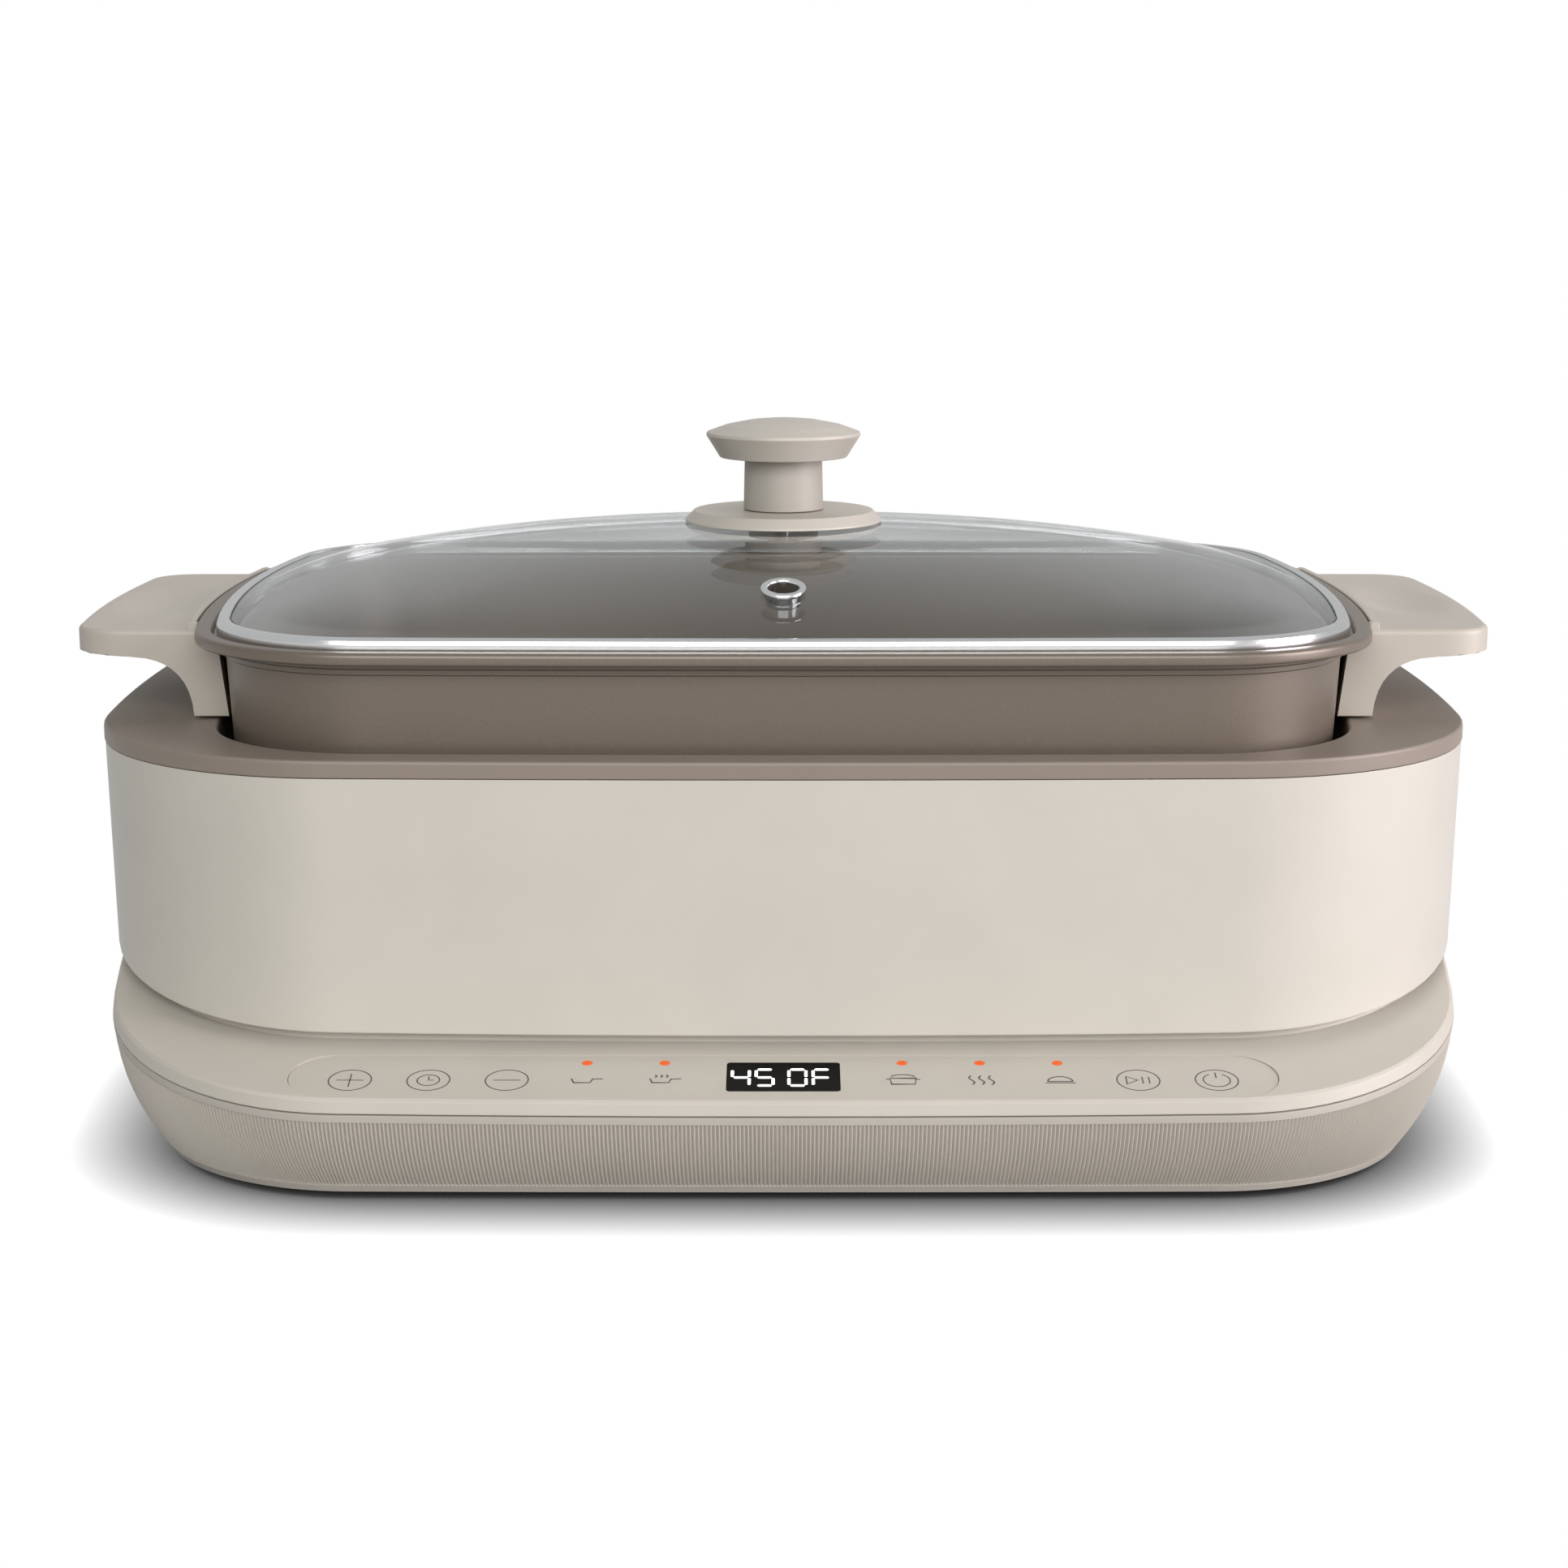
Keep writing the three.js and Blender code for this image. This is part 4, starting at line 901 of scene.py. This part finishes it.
def make_pot():
    lofted("cooking_pot_fine", [
        POT_BOTTOM,
        (LID, -20, POT_BOTTOM, 2),
        (LID, -7.4, POT_BOTTOM + 3, 12),
        (LID, -WALL_IN - 0.2, 156.3, 0.1),
        (LID, -WALL_IN + 0.5, 156.7, 0.15),
        (LID, -WALL_IN + 0.6, 158.2, 0.1),
        (LID, -WALL_IN + 1.5, 158.7, 0.2),
        (LID, -WALL_IN + 1.7, 160.7, 0.3),
        (LID, 7, 160.7, 1.2),
        (LID, 7, POT_RIM, 1.5),
        (LID, 2, POT_RIM, 0.8),
        (LID, 1, POT_LEDGE, 0.5),
        (LID, -WALL_IN - 2.4, POT_LEDGE, 1.5),
        (LID, -9.9, POT_BOTTOM + 4, 12),
        (LID, -21, POT_BOTTOM + 2.6, 3),
        POT_BOTTOM + 2.6,
    ], POT_COAT, "pot")
    handle("right", 1)
    handle("left", -1)
    places = [(side, BODY_Y + y) for side in (-1, 1) for y in SCREW_OFFSETS]
    for i, (side, y) in enumerate(places):
        lying = lying_at(y, side)
        screw = turned(f"handle_screw_{i + 1}_fine",
                       [(0, 184, 0), (1.8, 184, 0.3), (1.8, 190.3, 0), (3.8, 190.3, 0),
                        (3.8, 193.4, 0.9), (0, 193.4, 0)], STEEL, "pot", (0, 0), 32, lying)
        cut(screw, *cross_slot((0, 0), 191.6, 195, 1.9, 0.45, lying))


def lying_at(y, side):
    """Turns a vertical axis outwards, to where a handle's screw sits."""
    return Matrix.Translation((0, y, 146)) @ Matrix.Rotation(radians(90 * side), 4, "Y")


def bezier(a, b, c, steps):
    return [tuple((1 - t) ** 2 * a[k] + 2 * t * (1 - t) * b[k] + t * t * c[k] for k in range(2))
            for t in (i / steps for i in range(steps + 1))]


GRIP_HALF = 70.4
GRIP_CORNER = 18
GRIP_SHOULDER = 233.2
GRIP_TIP = 235.5
GRIP_IN = 7.4
EDGE_RADIUS = 1.6
DISH_X = 215.5
DISH_DEPTH = 2.7
LIP_END = 192.9
SCREW_OFFSETS = (-34, 34)


def grip_edge():
    """The grip's free edge seen from above, from the front shoulder round to the back one."""
    front = -GRIP_HALF
    edge = [(x, front) for x in (186, 190, 193.4, 197, 201, 206, 211)]
    edge += bezier((GRIP_SHOULDER - GRIP_CORNER, front), (GRIP_SHOULDER, front),
                   (GRIP_SHOULDER, front + GRIP_CORNER), 12)
    edge += bezier((GRIP_SHOULDER, front + GRIP_CORNER), (2 * GRIP_TIP - GRIP_SHOULDER, 0),
                   (GRIP_SHOULDER, -front - GRIP_CORNER), 16)[1:]
    back = [(x, -y) for x, y in edge[:19]]
    return edge[:-1] + list(reversed(back))


def inset(points, amount):
    """An open line of points moved towards its left."""
    moved = []
    for i, p in enumerate(points):
        before = Vector(points[max(i - 1, 0)])
        after = Vector(points[min(i + 1, len(points) - 1)])
        way = (after - before).normalized()
        moved.append((p[0] - way.y * amount, p[1] + way.x * amount))
    return moved


def underside_reach(z):
    """How far out the grip reaches at a height below its flat shelf."""
    steps = [bezier((193.2, 134), (194.2, 153), (214, 153.4), 40)[k] for k in range(41)]
    for (x0, z0), (x1, z1) in zip(steps, steps[1:]):
        if z0 <= z <= z1:
            return x0 + (x1 - x0) * (z - z0) / (z1 - z0)
    return 193.2 if z < 134 else 214 + (z - 153.4) * 22.6


def inner_line(offset, count):
    """Points along the pot's end wall, from the back of the grip to its front."""
    ends = [(x + nx * offset, y + ny * offset - BODY_Y)
            for x, y, nx, ny in spots(LID, [2 + k / 12 for k in range(-8, 33)]) if x > 0]
    line = []
    for k in range(count):
        v = GRIP_HALF - 2 * GRIP_HALF * k / (count - 1)
        for (x0, y0), (x1, y1) in zip(ends, ends[1:]):
            if y0 <= v <= y1:
                line.append((x0 + (x1 - x0) * (v - y0) / (y1 - y0), v))
                break
    return line


def bracket_in(z):
    """Where the bracket's inner face stands from the lid's outline, leaning with the pot's wall."""
    return 0.8 - 0.12 * (160 - z)


def grip_section(z, inner, shrink=0.0, pull=0.0):
    edge = inset(grip_edge(), shrink)
    reach = underside_reach(z) if z < 154.4 else 999
    inside = inner_line(inner + pull, 25)
    low, high = -GRIP_HALF + shrink, GRIP_HALF - shrink
    inside = [(x, min(max(v, low), high)) for x, v in inside]
    start = inside[0][0]
    spread = (211 - start) / (211 - 186)
    edge = [(start + (x - 186) * spread if x < 211 and abs(v) > GRIP_HALF - 2 else x, v)
            for x, v in edge]
    return [Vector((min(x, reach), BODY_Y + v, z)) for x, v in edge + inside[1:-1]]


def grip_rings():
    """Sections of a handle, from the bracket's foot up to the dish in its top."""
    rings = [grip_section(z, bracket_in(z), shrink) for z, shrink in ((133.5, 0.7), (133.7, 0.2))]
    rings += [grip_section(z, bracket_in(z)) for z in
              (134.2, 138, 142, 145, 147.5, 149.5, 151, 152, 152.8, 153.4, 153.7, 154, 154.35,
               154.4, 156)]
    rings += [grip_section(159.9, bracket_in(160)), grip_section(160, GRIP_IN)]
    for k in range(6):
        a = radians(18 * k)
        shrink = EDGE_RADIUS * (1 - cos(a))
        rings.append(grip_section(HANDLE_TOP - EDGE_RADIUS + EDGE_RADIUS * sin(a), GRIP_IN, shrink,
                                  shrink if k > 3 else 0))
    edge = rings[-1]
    middle = Vector((214.5, BODY_Y, HANDLE_TOP))
    top = [[middle.lerp(p, share) for p in edge]
           for share in (0.93, 0.85, 0.76, 0.67, 0.58, 0.49, 0.4, 0.31, 0.22, 0.12)] + [[middle]]
    for p in (p for r in top for p in r):
        away = ((p.x - DISH_X) / 15.5) ** 2 + ((p.y - BODY_Y) / 43) ** 2
        if away < 1:
            p.z = HANDLE_TOP - DISH_DEPTH * (1 - away) ** 1.3
    foot = Vector((187, BODY_Y, 133.5))
    return [[foot], [foot.lerp(p, 0.5) for p in rings[0]], *rings, *top]


def lip_mesh():
    """The low rail that stands on the handle along the pot's flange."""
    section = ((7.5, 161), (9.6, 161), (9.6, 164.3), (9.2, 164.7), (7.9, 164.7), (7.5, 164.3))
    n, m = 33, len(section)
    points = [Vector((x, BODY_Y + v * (GRIP_HALF - 0.3) / GRIP_HALF, z))
              for out, z in section for x, v in inner_line(out, n)]
    faces = [(k * n + i, k * n + i + 1, (k + 1) % m * n + i + 1, (k + 1) % m * n + i)
             for k in range(m) for i in range(n - 1)]
    faces += [tuple(k * n for k in range(m)), tuple(k * n + n - 1 for k in reversed(range(m)))]
    return points, faces


def handle(side_name, side):
    def mirrored(points, faces):
        return [Vector((side * p.x, p.y, p.z)) for p in points], faces

    grip = piece(f"handle_{side_name}_fine", *mirrored(*skin(grip_rings(), False)), GREIGE, "pot")
    piece(f"handle_{side_name}_lip", *mirrored(*lip_mesh()), GREIGE, "pot")
    for end, v in (("front", -GRIP_HALF + 1.9), ("back", GRIP_HALF - 1.9)):
        block = prism(rounded_outline(3.4, 3, 0.4, (side * LIP_END, BODY_Y + v), 3), 161, 164.5)
        bevelled(piece(f"handle_{side_name}_lip_{end}", *block, GREIGE, "pot"), 0.35, 2)
    bores = []
    for y in SCREW_OFFSETS:
        lying = lying_at(BODY_Y + y, side)
        bores += [bar(4.4, 190, 215, (0, 0), matrix=lying),
                  bar(2.3, 170, 200, (0, 0), matrix=lying)]
    cut(grip, *bores)


# ---- Lid ----


def dome_z(share):
    """The glass's height on a contour; near the rim it turns down to meet the rim's lip."""
    turn = max(0, (share - 0.86) / 0.105)
    return RIM_TOP - 0.3 + DOME_RISE * (1 - share**DOME_POWER) - 1.7 * turn**2


def dome_ring(share, down):
    """A contour of the glass: the lid's outline at the rim, an ellipse at the top."""
    wide, deep = LID["half_width"], LID_HALF["depth"]
    square = share**4
    points = []
    for p in ring(LID, 0, 0, DOME_STATIONS):
        angle = atan2((p.y - BODY_Y) / deep, p.x / wide)
        x = wide * cos(angle) * (1 - square) + p.x * square
        y = deep * sin(angle) * (1 - square) + (p.y - BODY_Y) * square
        points.append(Vector((share * x, BODY_Y + share * y, dome_z(share) - down)))
    return points


DOME_STATIONS = [k / 16 for k in range(12 * 16)]


def vent_matrix():
    share = -VENT_Y / LID_HALF["depth"]
    fall = DOME_RISE * DOME_POWER * share ** (DOME_POWER - 1) / LID_HALF["depth"]
    return (Matrix.Translation((0, BODY_Y + VENT_Y, dome_z(share)))
            @ Matrix.Rotation(atan(fall), 4, "X"))


def make_lid():
    shares = [0.955, 0.945, 0.93, 0.91, 0.88, 0.85, 0.81, 0.77, 0.72, 0.67, 0.61, 0.55, 0.48, 0.4,
              0.31, 0.22, 0.12]
    low, high = RIM_BOTTOM + 0.9, RIM_TOP - 0.9
    under = [ring(LID, out, z, DOME_STATIONS) for out, z in
             ((-5.6, low), (-1.5, low), (-1.1, low + 0.4), (-1.1, high - 0.4), (-1.5, high),
              (-4.7, high), (-5.0, high + 0.9))]
    rings = [[Vector((0, BODY_Y, dome_z(0) - GLASS_THICK))]]
    rings += [dome_ring(s, GLASS_THICK) for s in reversed(shares)]
    rings += under + [dome_ring(s, 0) for s in shares]
    rings.append([Vector((0, BODY_Y, dome_z(0)))])
    sheet = piece("lid_glass_fine", *skin(rings, False), GLASS, "lid")
    cut(sheet, bar(3, 150, 220), bar(5.9, -20, 20, (0, 0), 48, vent_matrix()))
    lofted("lid_rim_fine", [
        (LID, 0, RIM_BOTTOM, 0.7), (LID, 0, RIM_BOTTOM + 3.3, 0.5),
        (LID, -0.5, RIM_TOP - 0.2, 0.5), (LID, -1.9, RIM_TOP + 0.3, 0.5),
        (LID, -4.3, RIM_TOP + 0.3, 0.25), (LID, -4.3, RIM_TOP - 0.6, 0.2),
        (LID, -0.8, RIM_TOP - 0.6, 0.6),
        (LID, -0.8, RIM_BOTTOM + 0.6, 0.3), (LID, -4.3, RIM_BOTTOM + 0.6, 0.1),
        (LID, -4.3, RIM_BOTTOM, 0.2),
    ], STEEL, "lid")
    foot = -GLASS_THICK - 0.2
    turned("vent_grommet_fine", [
        (4.9, foot, 0.2), (5.6, foot, 0.2), (5.6, 0.5, 0.1), (7.2, 0.5, 0.8), (7.2, 2.4, 1.2),
        (4.9, 2.4, 1.1)], STEEL, "lid", (0, 0), 64, matrix=vent_matrix())
    turned("knob_base_fine", [
        (2.8, 190.1, 0), (34.2, 190.1, 0.5), (34.0, 190.9, 0.4), (31, 194, 0.7), (13.8, 194, 0.3),
        (2.8, 194, 0)], KNOB, "lid", sides=96)
    # The stem's darker colour is painted shade under the knob's head.
    turned("knob_stem_fine",
           [(2.8, 194.3, 0), (13.8, 194.3, 0.3), (13.4, 212.25, 0), (2.8, 212.25, 0)], SHADED_KNOB_STEM,
           "lid", sides=96)
    turned("lid_knob_fine", [
        (0, 212.3, 0), (22, 212.3, 0.4), (26.7, 219.9, 0.7), (26.4, 220.9, 0.5), (20, 223.2, 6),
        (12, 224.8, 6), (5, 225.45, 3), (0, 225.55, 0)], KNOB, "lid", sides=96)
    under = dome_z(0) - GLASS_THICK
    turned("knob_washer_fine", [
        (2.8, under - 1.8, 0), (12, under - 1.8, 0.4), (12, under - 0.3, 0.2),
        (2.8, under - 0.3, 0)], KNOB, "lid", slot="rubber")
    screw = turned("knob_screw_fine", [
        (0, under - 4.6, 0), (5.4, under - 4.6, 1), (5.4, under - 2.1, 0.2),
        (2.4, under - 2.1, 0.1), (2.4, 205, 0.4), (0, 205, 0)], STEEL, "lid", sides=48)
    cut(screw, *cross_slot((0, BODY_Y), under - 6, under - 3.2, 2.6, 0.6))


# ---- Inner pieces that keep their modelled shape ----

KEPT = {
    FELT: ["insulation_band"], BOARD: ["control_board", "power_board"], SHEET: ["heating_element"],
    DARK: ["display_module", "transformer", "relay", "capacitor"],
    STEEL: ["thermal_fuse", "sensor_clip"],
    WIRE: ["ribbon_cable", "mains_wire_1", "mains_wire_2", "heater_wire_1", "heater_wire_2"],
}


def make_kept():
    for look, names in KEPT.items():
        for name in names:
            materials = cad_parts[name].data.materials
            materials.clear()
            materials.append(look)


# ---- Studio ----


# Name, power, width, depth, place, aim, colour, and whether reflections show it.
LIGHTS = (
    ("front_key", 40, 2.4, 1.2, (-0.05, -2.2, 1.15), (0, 0, 0.1), (1, 1, 1), True),
    ("right_softbox", 25, 1.1, 0.9, (1.65, -0.6, 0.5), (0.1, 0, 0.1), (1, 0.92, 0.97), True),
    ("top", 8, 1.4, 1.4, (0.05, 0.95, 1.6), (0, 0.05, 0.1), (1, 1, 1), False),
    ("back_fill", 20, 2.2, 1.2, (0, 2.3, 0.95), (0, 0, 0.1), (1, 1, 1), False),
)
CAMERA_VIEW = 1.0
THROUGH_GLASS = 0.75
IN_REFLECTIONS = 0.5
AMBIENT = 0.18
FLOOR_IN_REFLECTIONS = 0.6
FLOOR_HALF = 6
FLOOR_Z = -0.0002


def area_light(name, power, width, depth, place, aim, colour, mirrored):
    light = bpy.data.lights.new(name, "AREA")
    light.energy = power
    light.color = colour
    light.shape = "RECTANGLE"
    light.size = width
    light.size_y = depth
    obj = linked(name, light)
    obj.location = place
    obj.rotation_euler = (Vector(aim) - Vector(place)).to_track_quat("-Z", "Y").to_euler()
    obj.visible_glossy = mirrored


def make_studio():
    mesh = bpy.data.meshes.new("floor")
    mesh.from_pydata([(x * FLOOR_HALF, y * FLOOR_HALF, FLOOR_Z)
                      for x, y in ((-1, -1), (1, -1), (1, 1), (-1, 1))], [], [(0, 1, 2, 3)])
    floor = linked("floor", mesh)
    floor.data.materials.append(white_floor())
    studio_world()
    for light in LIGHTS:
        area_light(*light)
    bpy.context.scene.view_settings.view_transform = "Standard"


def studio_world():
    """White behind the object, and a dimmer room for reflections and for fill light."""
    world = bpy.data.worlds.new("studio")
    bpy.context.scene.world = world
    world.use_nodes = True
    tree = world.node_tree
    rays = tree.nodes.new("ShaderNodeLightPath")
    shader = None
    for ray, strength in ((None, AMBIENT), ("Is Glossy Ray", IN_REFLECTIONS),
                          ("Is Transmission Ray", THROUGH_GLASS), ("Is Camera Ray", CAMERA_VIEW)):
        light = tree.nodes.new("ShaderNodeBackground")
        light.inputs["Color"].default_value = (1, 1, 1, 1)
        light.inputs["Strength"].default_value = strength
        if ray:
            mix = tree.nodes.new("ShaderNodeMixShader")
            tree.links.new(rays.outputs[ray], mix.inputs["Fac"])
            tree.links.new(shader, mix.inputs[1])
            tree.links.new(light.outputs["Background"], mix.inputs[2])
            shader = mix.outputs["Shader"]
        else:
            shader = light.outputs["Background"]
    tree.links.new(shader, tree.nodes["World Output"].inputs["Surface"])


def white_floor():
    """A white table that glows for the camera, and partly in reflections, with a painted contact
    shadow where occlusion dims the glow near the object; it bounces less light than it shows.
    """
    look = Look("floor_white", (0.32, 0.32, 0.32), 0.8)
    # Occlusion near the object dims the floor's glow: a painted contact shadow.
    painted_shadow_occlusion = look.node("ShaderNodeAmbientOcclusion", Distance=0.028, samples=12)
    depth = look.node("ShaderNodeMath", operation="POWER")
    depth.inputs[1].default_value = 1.45
    look.link(painted_shadow_occlusion.outputs["AO"], depth.inputs[0])
    # The floor glows instead of being lit: a painted glow, whose strength is the painted contact
    # shadow.
    glow = look.node("ShaderNodeEmission")
    look.link(depth.outputs["Value"], glow.inputs["Strength"])
    rays = look.node("ShaderNodeLightPath")
    mix = look.node("ShaderNodeMixShader")
    seen = look.node("ShaderNodeMath", operation="MULTIPLY_ADD")
    seen.inputs[1].default_value = FLOOR_IN_REFLECTIONS
    look.link(rays.outputs["Is Glossy Ray"], seen.inputs[0])
    look.link(rays.outputs["Is Camera Ray"], seen.inputs[2])
    look.link(seen.outputs["Value"], mix.inputs["Fac"])
    look.link(look.shader.outputs["BSDF"], mix.inputs[1])
    look.link(glow.outputs["Emission"], mix.inputs[2])
    look.link(mix.outputs["Shader"], look.output.inputs["Surface"])
    return look.material


make_skirt()
make_floor()
make_deck()
make_panel()
print_strokes("panel_ring_marks", icon_marks(), INK, 0.36)
print_strokes("panel_function_marks", function_marks(), INK, 0.45)
make_digits()
make_inlet()
make_body()
make_spring()
make_pot()
make_lid()
make_kept()
make_studio()
